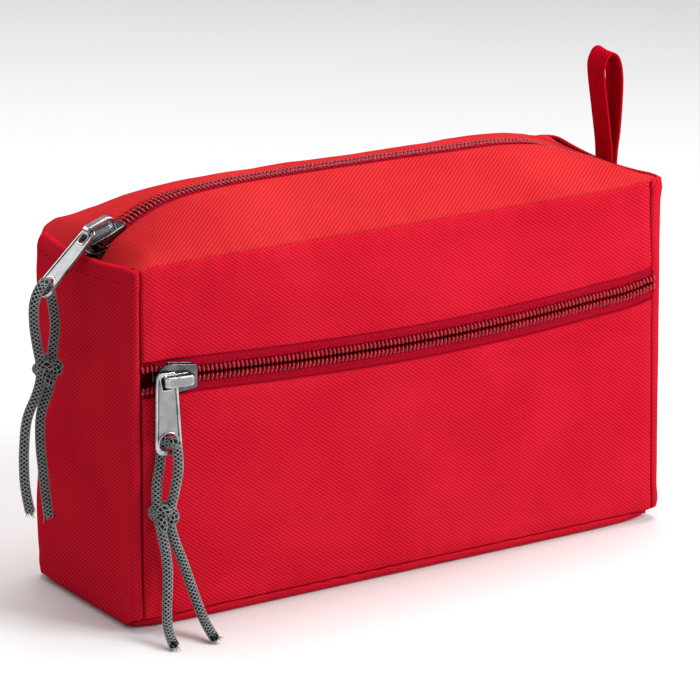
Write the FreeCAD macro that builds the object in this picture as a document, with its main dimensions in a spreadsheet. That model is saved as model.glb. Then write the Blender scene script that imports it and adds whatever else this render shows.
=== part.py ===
import FreeCAD, Part
import math
import os
import re
import Sketcher

# A zip pouch for a first aid kit. X runs along its width, +Y to the rear and +Z up, and the
# origin is the middle of its base. Lengths are millimetres and angles are degrees.

os.makedirs("parts", exist_ok=True)
doc = FreeCAD.newDocument("FirstAidKit")
Vec = FreeCAD.Vector
Turn = FreeCAD.Rotation
Place = FreeCAD.Placement

dimensions = {
    "bagWidth": 240.0, "bagDepth": 77.0, "bagHeight": 140.0, "cloth": 1.2, "seamGap": 0.5,
    # the top zip runs over an arch, the front zip over a shallow outward bow
    "topArchRadius": 320.0, "topArchApex": 160.7, "topEdge": 6.6, "chainEndX": 113.0,
    "frontBow": 7.0, "frontHalfChord": 117.0, "frontZipHeight": 97.5, "frontEdge": 7.4,
    "pocketWallY": 31.5, "endNotchHeight": 125.0, "endNotchHalf": 7.0,
    # the two flaps of the mouth are the middle of the top panels
    "flapStartX": -92.0, "flapEndX": 88.0, "flapGap": 0.5, "topSeamInset": 0.6,
    # chain of two coils on their tapes
    "coilInner": 0.6, "coilOuter": 3.9, "coilHalfThick": 1.3, "tapeHalfThick": 0.3,
    # slider, its bridge and its pull tab
    "sliderLength": 16.0, "sliderHalf": 5.75, "plateInner": 1.7, "plateOuter": 2.7,
    "flangeInner": 4.6, "flangeTip": 0.6, "neckHalf": 0.35, "topParkX": -110.0,
    "frontParkX": -104.0, "bridgeNose": 6.6, "bridgeTail": 5.5, "bridgePost": 1.2,
    "bridgeUnder": 6.1, "bridgeTop": 7.5, "bridgeBevel": 1.3, "bridgeWidth": 2.2,
    "tabLength": 30.0, "tabThick": 1.3, "tabNarrow": 4.4, "tabWide": 5.4, "tabBar": 0.75,
    "eyeEnd": 5.2, "eyeHalf": 2.4, "eyeEndHalf": 1.9, "holeStart": 26.0, "holeHalf": 3.9,
    "holeEnd": 28.3, "topPivotAlong": -4.3, "topPivotOut": 5.0, "topTabDroop": 24.0,
    "frontTabAlong": -5.3, "frontTabOut": 4.4, "frontTabTilt": 3.0,
    # pull cords and the ribbon loop
    "cordDiameter": 4.0, "knotWidth": 13.0, "knotDepth": 9.6, "knotHeight": 13.0,
    "ribbonWidth": 15.0, "ribbonThick": 1.2,
    # what the pouch carries
    "floorGap": 0.3, "gauzeRadius": 19.0, "gauzeLength": 76.0, "smallRollRadius": 12.5,
    "smallRollLength": 60.0, "tapeRollRadius": 24.0, "tapeCoreRadius": 13.0,
    "tapeCoreWall": 1.5, "tapeRollWidth": 25.0, "packLength": 88.0, "packDepth": 62.0,
    "dressingThick": 7.0,
}

sheet = doc.addObject("Spreadsheet::Sheet", "Dimensions")
for row, (alias, value) in enumerate(dimensions.items(), start=1):
    sheet.set(f"A{row}", alias)
    sheet.set(f"B{row}", str(value))
    sheet.setAlias(f"B{row}", alias)
doc.recompute()


def formula(text):
    """Alias names in the text become references to the sheet's cells."""
    return re.sub(
        r"[A-Za-z]\w*", lambda m: "Dimensions." + m[0] if m[0] in dimensions else m[0], text
    )


def dim(text):
    """The value of a formula over the sheet's cells."""
    return float(sheet.evalExpression(formula(text)))


subParts = []


def keep(piece, name):
    piece.Label = name
    subParts.append(piece)
    return piece


def placeBy(piece, corner):
    for axis, text in zip("xyz", corner):
        piece.setExpression("Placement.Base." + axis, formula(text))


def addBox(name, size, corner, kept=True):
    """A rectangular block from three sizes and its lowest corner, as formulas."""
    block = doc.addObject("Part::Box", name)
    for side, text in zip(("Length", "Width", "Height"), size):
        block.setExpression(side, formula(text))
    placeBy(block, corner)
    return keep(block, name) if kept else block


def newSketch(body, name, role):
    sketch = body.newObject("Sketcher::SketchObject", name)
    plane = next(plane for plane in body.Origin.OriginFeatures if plane.Role == role)
    sketch.AttachmentSupport = (plane, "")
    sketch.MapMode = "FlatFace"
    return sketch


def pinPoint(sketch, edge, end, corner):
    """Holds one end of a sketch edge at a pair of formulas, measured from the origin."""
    for kind, text in zip(("DistanceX", "DistanceY"), corner):
        at = sketch.addConstraint(Sketcher.Constraint(kind, -1, 1, edge, end, dim(text)))
        label = f"{kind}{edge}"
        sketch.renameConstraint(at, label)
        sketch.setExpression("Constraints." + label, formula(text))


def closedOutline(sketch, corners):
    """Straight edges from corner to corner, each corner a pair of formulas."""
    points = [Vec(dim(across), dim(up), 0) for across, up in corners]
    edges = [
        sketch.addGeometry(Part.LineSegment(point, points[(index + 1) % len(points)]), False)
        for index, point in enumerate(points)
    ]
    for index, edge in enumerate(edges):
        following = edges[(index + 1) % len(edges)]
        sketch.addConstraint(Sketcher.Constraint("Coincident", edge, 2, following, 1))
        pinPoint(sketch, edge, 1, corners[index])


def newPad(body, sketch, length):
    pad = body.newObject("PartDesign::Pad", sketch.Name + "Pad")
    pad.Profile = sketch
    pad.Midplane = True
    pad.setExpression("Length", formula(length))
    sketch.Visibility = False
    return pad


# ---- the two zips' own frames: radial, then tangential (+X), then across the chain

topCentre = Vec(0, 0, dim("topArchApex - topArchRadius"))
topZip = Place(topCentre, Turn(Vec(0, 0, 1), Vec(1, 0, 0), Vec(0, 1, 0), "XYZ"))
frontRadius = "((frontHalfChord * frontHalfChord + frontBow * frontBow) / (2 * frontBow))"
frontCentre = Vec(0, dim(f"{frontRadius} - frontBow - bagDepth / 2"), dim("frontZipHeight"))
frontZip = Place(frontCentre, Turn(Vec(0, -1, 0), Vec(1, 0, 0), Vec(0, 0, 1), "XYZ"))
zips = {"top": (topZip, "topArchRadius"), "front": (frontZip, frontRadius)}


def arcAngle(zipName, x):
    return math.degrees(math.asin(x / dim(zips[zipName][1])))


def addArcBar(name, zipName, across, out, ends):
    """A bar of rectangular section that follows a zip's arc between two places along X."""
    frame, radius = zips[zipName]
    body = doc.addObject("PartDesign::Body", name)
    sketch = newSketch(body, name + "Section", "XZ_Plane")
    inner, outer = (f"{radius} + {text}" for text in out)
    low, high = across
    closedOutline(sketch, [(inner, low), (outer, low), (outer, high), (inner, high)])
    sweep = body.newObject("PartDesign::Revolution", name + "Sweep")
    sweep.Profile = sketch
    sweep.ReferenceAxis = (sketch, ["V_Axis"])
    start, end = (arcAngle(zipName, x) for x in ends)
    sweep.Angle = end - start
    body.Placement = frame * Place(Vec(), Turn(Vec(0, 0, 1), start))
    return body


def group(name, pieces):
    """Several separate solids of one kind, kept as one sub-part."""
    joined = doc.addObject("Part::Compound", name)
    joined.Links = pieces
    return keep(joined, name)


coilBand = ("coilInner", "coilOuter")
coilOut = ("-coilHalfThick", "coilHalfThick")
tapeOut = ("-tapeHalfThick", "tapeHalfThick")


def mirrored(band):
    return tuple(f"-({text})" for text in reversed(band))


def addZipStretch(prefix, zipName, edge, ends):
    """Both coils and both tapes of a zip between two places along X."""
    made = {}
    for side, flip in (("near", True), ("far", False)):
        for part, band, out in (
            ("coil", coilBand, coilOut),
            ("tape", ("coilOuter", edge), tapeOut),
        ):
            across = mirrored(band) if flip else band
            made[side, part] = addArcBar(f"{prefix}_{side}_{part}", zipName, across, out, ends)
    return made


# ---- walls of the pouch

addBox("bottom_panel", ("bagWidth - 2 * cloth", "bagDepth - 2 * cloth", "cloth"),
       ("cloth - bagWidth / 2", "cloth - bagDepth / 2", "0"))
addBox("back_panel", ("bagWidth - 2 * cloth", "cloth", "bagHeight - seamGap"),
       ("cloth - bagWidth / 2", "bagDepth / 2 - cloth", "0"))
addBox("pocket_inner_wall", ("bagWidth - 2 * cloth", "cloth", "bagHeight - 2 * cloth - seamGap"),
       ("cloth - bagWidth / 2", "-pocketWallY - cloth", "cloth"))


def addEndPanel(name, lowX):
    """An end wall, cut down where the top zip runs out over it."""
    body = doc.addObject("PartDesign::Body", name)
    sketch = newSketch(body, name + "_outline", "YZ_Plane")
    halfDepth, top = "(bagDepth / 2)", "(bagHeight - seamGap)"
    closedOutline(sketch, [
        (f"-{halfDepth}", "0"), (halfDepth, "0"), (halfDepth, top),
        ("endNotchHalf", f"{top} - 1.5"), ("endNotchHalf", "endNotchHeight"),
        ("-endNotchHalf", "endNotchHeight"), ("-endNotchHalf", f"{top} - 1.5"),
        (f"-{halfDepth}", top),
    ])
    newPad(body, sketch, "cloth")
    placeBy(body, (f"{lowX} + cloth / 2", "0", "0"))
    keep(body, name)


addEndPanel("left_end_panel", "-bagWidth / 2")
addEndPanel("right_end_panel", "bagWidth / 2 - cloth")


def addRuled(name, edge, other, push, kept=True):
    """A sheet of cloth stretched between two edges and given its thickness along push."""
    sheetFace = Part.makeRuledSurface(edge, other)
    piece = doc.addObject("Part::Feature", name)
    piece.Shape = sheetFace.extrude(push)
    return keep(piece, name) if kept else piece


def zipPoint(zipName, x, across, out=0.0):
    """The place on a zip at X, so far across the chain and so far out of it."""
    frame, radius = zips[zipName]
    angle = math.asin(x / dim(radius))
    reach = dim(radius) + out
    return frame.multVec(Vec(reach * math.cos(angle), reach * math.sin(angle), across))


def zipEdge(zipName, ends, across, out):
    """The arc that lies beside a zip between two places along X."""
    places = (ends[0], sum(ends) / 2, ends[1])
    return Part.Arc(*(zipPoint(zipName, x, across, out) for x in places)).toShape()


endX = dim("bagWidth / 2 - cloth - 0.1")
cloth = dim("cloth")
frontSeamY = dim("-bagDepth / 2")


def addFrontPanel(name, seamZ, across):
    """A front panel, flat along its seam and bowed along the front zip."""
    seam = Part.makeLine(Vec(-endX, frontSeamY, seamZ), Vec(endX, frontSeamY, seamZ))
    bowed = zipEdge("front", (-endX, endX), across, 0.3)
    addRuled(name, bowed, seam, Vec(0, cloth, 0))


addFrontPanel("front_upper_panel", dim("bagHeight - 2 * seamGap"), dim("frontEdge"))
addFrontPanel("front_lower_panel", 0.0, -dim("frontEdge"))

seamY = dim("bagDepth / 2 - topSeamInset")
topEdge = dim("topEdge")
flapEnds = (dim("flapStartX"), dim("flapEndX"))
gap = dim("flapGap")
leftEnds = (-dim("chainEndX"), flapEnds[0] - gap)
rightEnds = (flapEnds[1] + gap, dim("chainEndX"))


def addTopPanel(name, side, ends, kept=True):
    """A top panel's stretch between its long seam (side -1 is the front) and the zip."""
    across = side * topEdge
    seam = Part.makeLine(
        Vec(ends[0], side * seamY, dim("bagHeight")), Vec(ends[1], side * seamY, dim("bagHeight"))
    )
    arched = zipEdge("top", ends, across, -0.9)
    return addRuled(name, arched, seam, Vec(0, 0, cloth), kept)


for sideName, side in (("front", -1), ("rear", 1)):
    addTopPanel(f"top_{sideName}_panel", side, flapEnds)
    stubs = [
        addTopPanel(f"top_{sideName}_panel_{place}", side, ends, kept=False)
        for place, ends in (("left", (-endX, leftEnds[1])), ("right", (rightEnds[0], endX)))
    ]
    group(f"top_{sideName}_panel_ends", stubs)

# ---- zips

middle = addZipStretch("top", "top", "topEdge", flapEnds)
stubsLeft = addZipStretch("topleft", "top", "topEdge", leftEnds)
stubsRight = addZipStretch("topright", "top", "topEdge", rightEnds)
for side, sideName in (("near", "front"), ("far", "rear")):
    for part in ("coil", "tape"):
        keep(middle[side, part], f"top_{sideName}_{part}")
        group(f"top_{sideName}_{part}_ends", [stubsLeft[side, part], stubsRight[side, part]])

frontEnds = (-dim("chainEndX") - 3, dim("chainEndX") + 3)
frontChain = addZipStretch("front", "front", "frontEdge", frontEnds)
for side, sideName in (("near", "lower"), ("far", "upper")):
    for part in ("coil", "tape"):
        keep(frontChain[side, part], f"front_{sideName}_{part}")

# ---- sliders: X along the zip, Y across it, Z out of it


def sliderPlace(zipName, x):
    frame, radius = zips[zipName]
    turned = Place(Vec(), Turn(Vec(0, 0, 1), arcAngle(zipName, x)))
    upright = Turn(Vec(0, 1, 0), Vec(0, 0, 1), Vec(1, 0, 0), "XYZ")
    return frame * turned * Place(Vec(dim(radius), 0, 0), upright)


def addSliderShell(name):
    """Two plates joined by a neck, with flanges that close round the coils."""
    body = doc.addObject("PartDesign::Body", name + "_section")
    sketch = newSketch(body, name + "_profile", "YZ_Plane")
    half = [
        ("sliderHalf", "plateOuter"), ("sliderHalf", "flangeTip"), ("flangeInner", "flangeTip"),
        ("flangeInner", "plateInner"), ("neckHalf", "plateInner"),
    ]
    right = half + [(across, f"-{out}") for across, out in reversed(half)]
    left = [(f"-{across}", out) for across, out in right]
    closedOutline(sketch, right + left[::-1])
    newPad(body, sketch, "sliderLength")
    nose = doc.addObject("Part::Cylinder", name + "_nose")
    nose.setExpression("Radius", formula("sliderHalf"))
    nose.setExpression("Height", formula("4 * plateOuter"))
    placeBy(nose, ("sliderHalf - sliderLength / 2", "0", "-2 * plateOuter"))
    tail = addBox(name + "_tail", ("sliderLength - sliderHalf", "2 * sliderHalf", "4 * plateOuter"),
                  ("sliderHalf - sliderLength / 2", "-sliderHalf", "-2 * plateOuter"), kept=False)
    outline = doc.addObject("Part::Fuse", name + "_outline")
    outline.Base, outline.Tool = nose, tail
    shell = doc.addObject("Part::Common", name)
    shell.Base, shell.Tool = body, outline
    return keep(shell, name)


def addBridge(name):
    """The raised bridge on the outer plate that holds the pull tab."""
    body = doc.addObject("PartDesign::Body", name)
    sketch = newSketch(body, name + "_arch", "XZ_Plane")
    nose, tail, foot = "-bridgeNose", "bridgeTail", "plateOuter"
    closedOutline(sketch, [
        (nose, foot), (nose, "bridgeTop - bridgeBevel"), (f"{nose} + bridgeBevel", "bridgeTop"),
        (f"{tail} - bridgeBevel", "bridgeTop"), (tail, "bridgeTop - bridgeBevel"), (tail, foot),
        (f"{tail} - bridgePost", foot), (f"{tail} - bridgePost", "bridgeUnder"),
        (f"{nose} + bridgePost", "bridgeUnder"), (f"{nose} + bridgePost", foot),
    ])
    newPad(body, sketch, "bridgeWidth")
    return keep(body, name)


def addTab(name):
    """A pull tab: X runs from the middle of its end bar to its tip."""
    body = doc.addObject("PartDesign::Body", name)
    sketch = newSketch(body, name + "_outline", "XY_Plane")
    closedOutline(sketch, [
        ("-tabBar", "1 - tabNarrow"), ("1 - tabBar", "-tabNarrow"),
        ("tabLength - 3.5", "-tabWide"), ("tabLength - 1", "-tabWide + 1.4"),
        ("tabLength", "-tabWide / 2"), ("tabLength", "tabWide / 2"),
        ("tabLength - 1", "tabWide - 1.4"), ("tabLength - 3.5", "tabWide"),
        ("1 - tabBar", "tabNarrow"), ("-tabBar", "tabNarrow - 1"),
    ])
    newPad(body, sketch, "tabThick")
    eye = newSketch(body, name + "_eye", "XY_Plane")
    closedOutline(eye, [("tabBar", "-eyeHalf"), ("eyeEnd", "-eyeEndHalf"),
                        ("eyeEnd", "eyeEndHalf"), ("tabBar", "eyeHalf")])
    hole = newSketch(body, name + "_hole", "XY_Plane")
    start, end, half = dim("holeStart"), dim("holeEnd"), dim("holeHalf")
    hole.addGeometry(Part.LineSegment(Vec(start, half, 0), Vec(end, half * 0.6, 0)), False)
    hole.addGeometry(Part.LineSegment(Vec(end, half * 0.6, 0), Vec(end, -half * 0.6, 0)), False)
    hole.addGeometry(Part.LineSegment(Vec(end, -half * 0.6, 0), Vec(start, -half, 0)), False)
    bow = Part.Arc(Vec(start, -half, 0), Vec(start - half, 0, 0), Vec(start, half, 0))
    hole.addGeometry(bow, False)
    for cut, sketchCut in (("eye_cut", eye), ("hole_cut", hole)):
        pocket = body.newObject("PartDesign::Pocket", f"{name}_{cut}")
        pocket.Profile = sketchCut
        pocket.Type = "ThroughAll"
        pocket.Midplane = True
    return keep(body, name)


topSlider = sliderPlace("top", dim("topParkX"))
frontSlider = sliderPlace("front", dim("frontParkX"))
for zipName, place in (("top", topSlider), ("front", frontSlider)):
    addSliderShell(f"{zipName}_slider_shell").Placement = place
    addBridge(f"{zipName}_slider_bridge").Placement = place

# the top tab points past the nose and droops; the front tab hangs from the bridge's nose post
topTabPlace = topSlider * Place(
    Vec(dim("topPivotAlong"), 0, dim("topPivotOut")),
    Turn(Vec(0, 0, 1), 180) * Turn(Vec(0, 1, 0), dim("topTabDroop")),
)
frontTabPlace = frontSlider * Place(
    Vec(dim("frontTabAlong"), dim("(tabBar + eyeEnd) / 2 - 0.4"), dim("frontTabOut")),
    Turn(Vec(0, 0, 1), -90) * Turn(Vec(0, 1, 0), -dim("frontTabTilt")),
)
addTab("top_pull_tab").Placement = topTabPlace
addTab("front_pull_tab").Placement = frontTabPlace

# ---- pull cords: two legs from each tab's hole, through a knot, to two loose tails

cordRadius = dim("cordDiameter / 2")


def addCord(name, route):
    """A round cord along straight runs joined by arcs as large as the runs allow."""
    points = [Vec(*point) for point in route]
    edges, start, length, tightest = [], points[0], 0.0, float("inf")
    for before, here, after in zip(points, points[1:], points[2:]):
        inward, outward = (here - before).normalize(), (after - here).normalize()
        halfTurn = inward.getAngle(outward) / 2
        reach = 0.45 * min(before.distanceToPoint(here), here.distanceToPoint(after))
        radius = reach / math.tan(halfTurn)
        tightest = min(tightest, radius)
        enter, leave = here - inward * reach, here + outward * reach
        bisector = (outward - inward).normalize()
        crown = here + bisector * (radius / math.cos(halfTurn) - radius)
        edges += [Part.LineSegment(start, enter).toShape(), Part.Arc(enter, crown, leave).toShape()]
        start = leave
    edges.append(Part.LineSegment(start, points[-1]).toShape())
    path = Part.Wire(edges)
    section = Part.Wire([Part.makeCircle(cordRadius, points[0], points[1] - points[0])])
    tube = path.makePipeShell([section], True, False)
    expected = math.pi * cordRadius**2 * path.Length
    print(f"{name}: length {path.Length:.1f}, tightest radius {tightest:.1f}, "
          f"volume / expected {tube.Volume / expected:.4f}")
    piece = doc.addObject("Part::Feature", name)
    piece.Shape = tube
    keep(piece, name)


def addKnot(name, centre):
    """The outer shape of an overhand knot in the doubled cord."""
    ball = doc.addObject("Part::Ellipsoid", name)
    ball.setExpression("Radius1", formula("knotHeight / 2"))
    ball.setExpression("Radius2", formula("knotWidth / 2"))
    ball.setExpression("Radius3", formula("knotDepth / 2"))
    ball.Placement = Place(Vec(*centre), Turn())
    return keep(ball, name)


topLegOut = [
    (-136.5, -1.5, 128.4), (-140.3, -1.5, 124.3), (-141.0, -1.5, 115.0), (-139.5, -1.2, 105.0),
    (-137.4, -1.0, 95.2), (-139.2, -1.0, 87.0), (-144.5, -1.5, 78.5), (-146.0, -2.0, 69.0),
    (-146.4, -2.0, 59.0), (-145.6, -1.5, 49.5), (-143.6, -1.0, 41.5),
]
topLegIn = [
    (-132.2, 1.2, 123.8), (-130.6, 1.5, 117.0), (-130.4, 1.0, 109.0), (-132.4, 0.2, 101.5),
    (-132.9, -1.0, 94.5), (-134.8, -1.0, 86.5), (-138.6, -1.2, 79.5), (-139.2, -1.5, 68.0),
    (-138.0, -1.5, 56.0), (-136.9, -1.2, 46.0), (-135.8, -1.0, 38.5),
]
frontLegOut = [
    (-108.4, -48.4, 75.4), (-107.4, -48.9, 67.0), (-108.9, -47.9, 57.0), (-110.2, -45.6, 47.0),
    (-108.8, -45.8, 38.5), (-105.2, -46.0, 29.5), (-102.2, -46.6, 20.0), (-100.4, -49.4, 11.0),
    (-100.0, -55.0, 4.6), (-100.8, -61.8, 2.4),
]
frontLegIn = [
    (-110.6, -41.7, 75.4), (-111.4, -42.1, 67.0), (-114.2, -43.2, 57.0), (-114.6, -45.2, 47.0),
    (-112.8, -46.0, 38.0), (-111.2, -46.2, 28.5), (-111.6, -46.8, 19.0), (-113.6, -49.0, 10.5),
    (-115.6, -53.8, 4.6), (-117.0, -60.0, 2.4),
]
addCord("top_cord_outer_half", topLegOut)
addCord("top_cord_inner_half", topLegIn)
addCord("front_cord_outer_half", frontLegOut)
addCord("front_cord_inner_half", frontLegIn)
addKnot("top_cord_knot", (-135.1, -1.0, 95.0))
addKnot("front_cord_knot", (-112.4, -45.4, 47.0))

# ---- hanging loop: a teardrop of ribbon that stands on the right end's top seam


def addHangLoop(name):
    leftFoot, rightFoot = Vec(118.0, 0, 141.8), Vec(121.0, 0, 141.8)
    leftTop, crown, rightTop = Vec(106.8, 0, 178.0), Vec(112.6, 0, 185.0), Vec(118.4, 0, 178.6)
    outer = Part.Wire([
        Part.makeLine(leftFoot, leftTop), Part.Arc(leftTop, crown, rightTop).toShape(),
        Part.makeLine(rightTop, rightFoot), Part.makeLine(rightFoot, leftFoot),
    ])
    inner = outer.makeOffset2D(-dim("ribbonThick"), 0, False, False)
    width = dim("ribbonWidth")
    solid = Part.Face(outer).extrude(Vec(0, width, 0))
    ribbon = solid.cut(Part.Face(inner).extrude(Vec(0, width, 0)))
    piece = doc.addObject("Part::Feature", name)
    piece.Shape = ribbon
    piece.Placement = Place(Vec(0, -width / 2, 0), Turn())
    keep(piece, name)


addHangLoop("hang_loop_ribbon")

# ---- inner pocket and contents

floorZ = "(cloth + floorGap)"
addBox("inner_pocket", ("180", "0.8", "60"), ("-90", "bagDepth / 2 - cloth - 3.4", "44"))
addBox("inner_pocket_elastic", ("180", "1.6", "8"), ("-90", "bagDepth / 2 - cloth - 3.8", "104.4"))


def addRoll(name, radius, length, start):
    """A bandage roll that lies along X."""
    roll = doc.addObject("Part::Cylinder", name)
    roll.setExpression("Radius", formula(radius))
    roll.setExpression("Height", formula(length))
    roll.Placement = Place(Vec(), Turn(Vec(0, 1, 0), 90))
    placeBy(roll, start)
    keep(roll, name)


addRoll("gauze_roll_large", "gauzeRadius", "gauzeLength",
        ("-112", "bagDepth / 2 - cloth - 4.4 - gauzeRadius", f"{floorZ} + gauzeRadius"))
addRoll("gauze_roll_small", "smallRollRadius", "smallRollLength",
        ("-108", "smallRollRadius + 0.6 - pocketWallY", f"{floorZ} + smallRollRadius"))


def addRing(name, outerRadius, innerRadius):
    """A ring that lies flat on the floor in the middle of the pouch."""
    made = []
    for part, radius in (("outer", outerRadius), ("inner", innerRadius)):
        cylinder = doc.addObject("Part::Cylinder", f"{name}_{part}")
        cylinder.setExpression("Radius", formula(radius))
        cylinder.setExpression("Height", formula("tapeRollWidth"))
        placeBy(cylinder, ("-5", "7", floorZ))
        made.append(cylinder)
    ring = doc.addObject("Part::Cut", name)
    ring.Base, ring.Tool = made
    keep(ring, name)


addRing("adhesive_tape_roll", "tapeRollRadius", "tapeCoreRadius")
addRing("tape_roll_core", "tapeCoreRadius", "tapeCoreRadius - tapeCoreWall")
addBox("plaster_box", ("50", "12", "62"), ("-30", "0.8 - pocketWallY", floorZ))


def addStack(name, count, size, corner, step):
    """Several equal packs, one above another."""
    packs = []
    for index in range(count):
        low = (corner[0], corner[1], f"{corner[2]} + {index} * ({step})")
        packs.append(addBox(f"{name}_{index}", size, low, kept=False))
    group(name, packs)


addStack("sterile_dressings", 3, ("packLength", "packDepth", "dressingThick"),
         ("26", "0.9 - pocketWallY", floorZ), "dressingThick + floorGap")
addStack("wipe_sachets", 4, ("48", "45", "2"), ("-29", "-15", f"{floorZ} + tapeRollWidth + 0.3"),
         "2 + floorGap")
addBox("triangular_bandage", ("80", "58", "18"), ("30", "2 - pocketWallY", "24"))
addBox("glove_pack", ("84", "60", "13"), ("28", "1.5 - pocketWallY", "42.4"))
addBox("rescue_blanket", ("78", "60", "20"), ("-113", "1.5 - pocketWallY", "42"))


def addTweezers(name):
    """Two slim arms that meet at one end."""
    body = doc.addObject("PartDesign::Body", name)
    sketch = newSketch(body, name + "_outline", "XY_Plane")
    closedOutline(sketch, [
        ("0", "-2"), ("12", "-2.6"), ("60", "-6"), ("92", "-1.6"), ("92", "-0.6"),
        ("60", "-4.6"), ("12", "-0.6"), ("12", "0.6"), ("60", "4.6"), ("92", "0.6"),
        ("92", "1.6"), ("60", "6"), ("12", "2.6"), ("0", "2"),
    ])
    newPad(body, sketch, "7")
    placeBy(body, ("24", "5", "59.4"))
    keep(body, name)


addTweezers("tweezers")

# ---- check and write

doc.recompute()
faults = [
    item.Name for item in doc.Objects if {"Invalid", "Error"} & set(item.State)
]
for piece in subParts:
    shape = piece.Shape
    if shape.isNull() or not shape.isValid() or not shape.Solids:
        faults.append(piece.Label)
if faults:
    raise SystemExit("failed: " + ", ".join(faults))
for piece in subParts:
    solids = piece.Shape.Solids
    volume = sum(solid.Volume for solid in solids)
    print(f"{piece.Label}: {len(solids)} solid(s), {volume:.0f} mm3")
    piece.Shape.exportStep(f"parts/{piece.Label}.step")
print(len(subParts), "sub-parts")
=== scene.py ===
import bpy
import bmesh
import math
import random
import numpy as np
from mathutils import Matrix, Vector, noise


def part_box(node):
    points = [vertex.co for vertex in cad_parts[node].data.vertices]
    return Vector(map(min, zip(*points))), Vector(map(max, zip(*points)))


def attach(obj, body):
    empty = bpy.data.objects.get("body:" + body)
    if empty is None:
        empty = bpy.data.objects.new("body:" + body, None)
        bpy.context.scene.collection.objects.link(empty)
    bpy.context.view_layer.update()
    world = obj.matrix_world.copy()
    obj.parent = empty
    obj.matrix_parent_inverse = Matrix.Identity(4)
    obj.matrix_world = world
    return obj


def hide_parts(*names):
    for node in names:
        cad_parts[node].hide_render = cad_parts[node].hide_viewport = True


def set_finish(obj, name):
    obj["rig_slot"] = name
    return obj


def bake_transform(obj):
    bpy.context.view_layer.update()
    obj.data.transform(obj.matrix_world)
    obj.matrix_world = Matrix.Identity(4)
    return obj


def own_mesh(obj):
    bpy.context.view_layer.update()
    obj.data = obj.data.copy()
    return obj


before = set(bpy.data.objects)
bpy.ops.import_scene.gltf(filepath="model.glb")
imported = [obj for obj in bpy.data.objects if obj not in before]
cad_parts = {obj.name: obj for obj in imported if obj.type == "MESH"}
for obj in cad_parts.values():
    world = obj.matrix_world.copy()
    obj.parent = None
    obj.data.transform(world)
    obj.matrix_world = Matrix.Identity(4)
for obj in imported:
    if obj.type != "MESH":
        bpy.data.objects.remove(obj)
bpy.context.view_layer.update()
mm = 0.001
scene = bpy.context.scene

# camera first, then light and floor

view = {"azimuth": -33.11, "elevation": 16.94, "roll": 0.29, "distance": 1.5441,
        "target": (-0.00186, 0.0, 0.0807), "lens": 205.7}


def addCamera():
    lens = bpy.data.cameras.new("studioCamera")
    lens.lens, lens.sensor_width = view["lens"], 36.0
    camera = bpy.data.objects.new("studioCamera", lens)
    scene.collection.objects.link(camera)
    turn, rise = math.radians(view["azimuth"]), math.radians(view["elevation"])
    back = Vector((math.sin(turn) * math.cos(rise), -math.cos(turn) * math.cos(rise), math.sin(rise)))
    camera.rotation_mode = "QUATERNION"
    facing = (-back).to_track_quat("-Z", "Y")
    camera.rotation_quaternion = facing @ Matrix.Rotation(math.radians(view["roll"]), 3, "Z").to_quaternion()
    camera.location = Vector(view["target"]) + back * view["distance"]
    scene.camera = camera


studio = {"keyPlace": (0.75, -1.0, 0.85), "keySize": 0.7, "keyPower": 21.0,
          "fillPlace": (-1.0, -0.7, 0.5), "fillSize": 0.9, "fillPower": 0.7,
          "topPlace": (0.15, 0.1, 1.25), "topSize": 0.9, "topPower": 13.0,
          "rearPlace": (-0.4, 1.1, 0.7), "rearSize": 0.8, "rearPower": 5.0,
          "sky": (1.0, 1.0, 1.0), "skyStrength": 0.23}


def addStudio():
    for lamp in ("key", "fill", "top", "rear"):
        light = bpy.data.lights.new(lamp + "Light", "AREA")
        light.size, light.energy = studio[lamp + "Size"], studio[lamp + "Power"]
        holder = bpy.data.objects.new(lamp + "Light", light)
        holder.location = studio[lamp + "Place"]
        holder.rotation_euler = (Vector((0, 0, 0.07)) - holder.location).to_track_quat("-Z", "Y").to_euler()
        scene.collection.objects.link(holder)
    world = bpy.data.worlds.new("studioSky")
    world.use_nodes = True
    sky = world.node_tree.nodes["Background"]
    sky.inputs["Color"].default_value = (*studio["sky"], 1.0)
    sky.inputs["Strength"].default_value = studio["skyStrength"]
    scene.world = world
    scene.view_settings.view_transform = "Standard"


addCamera()
addStudio()
print("camera and studio set")

# node trees written as sums


class Wire:
    # one output of a node; sums on it add Math nodes
    def __init__(self, bench, socket):
        self.bench, self.socket = bench, socket

    def maths(self, operation, *inputs):
        return self.bench.make("ShaderNodeMath", {"operation": operation}, dict(enumerate(inputs)))

    def __add__(self, other):
        return self.maths("ADD", self, other)

    def __radd__(self, other):
        return self.maths("ADD", other, self)

    def __sub__(self, other):
        return self.maths("SUBTRACT", self, other)

    def __rsub__(self, other):
        return self.maths("SUBTRACT", other, self)

    def __mul__(self, other):
        return self.maths("MULTIPLY", self, other)

    def __rmul__(self, other):
        return self.maths("MULTIPLY", other, self)

    def __truediv__(self, other):
        return self.maths("DIVIDE", self, other)

    def __pow__(self, other):
        return self.maths("POWER", self, other)

    def sine(self):
        return self.maths("SINE", self)

    def size(self):
        return self.maths("ABSOLUTE", self)

    def step(self, low, high):
        return self.bench.make("ShaderNodeMapRange", {"interpolation_type": "SMOOTHSTEP"},
                               {0: self, 1: low, 2: high})


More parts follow.
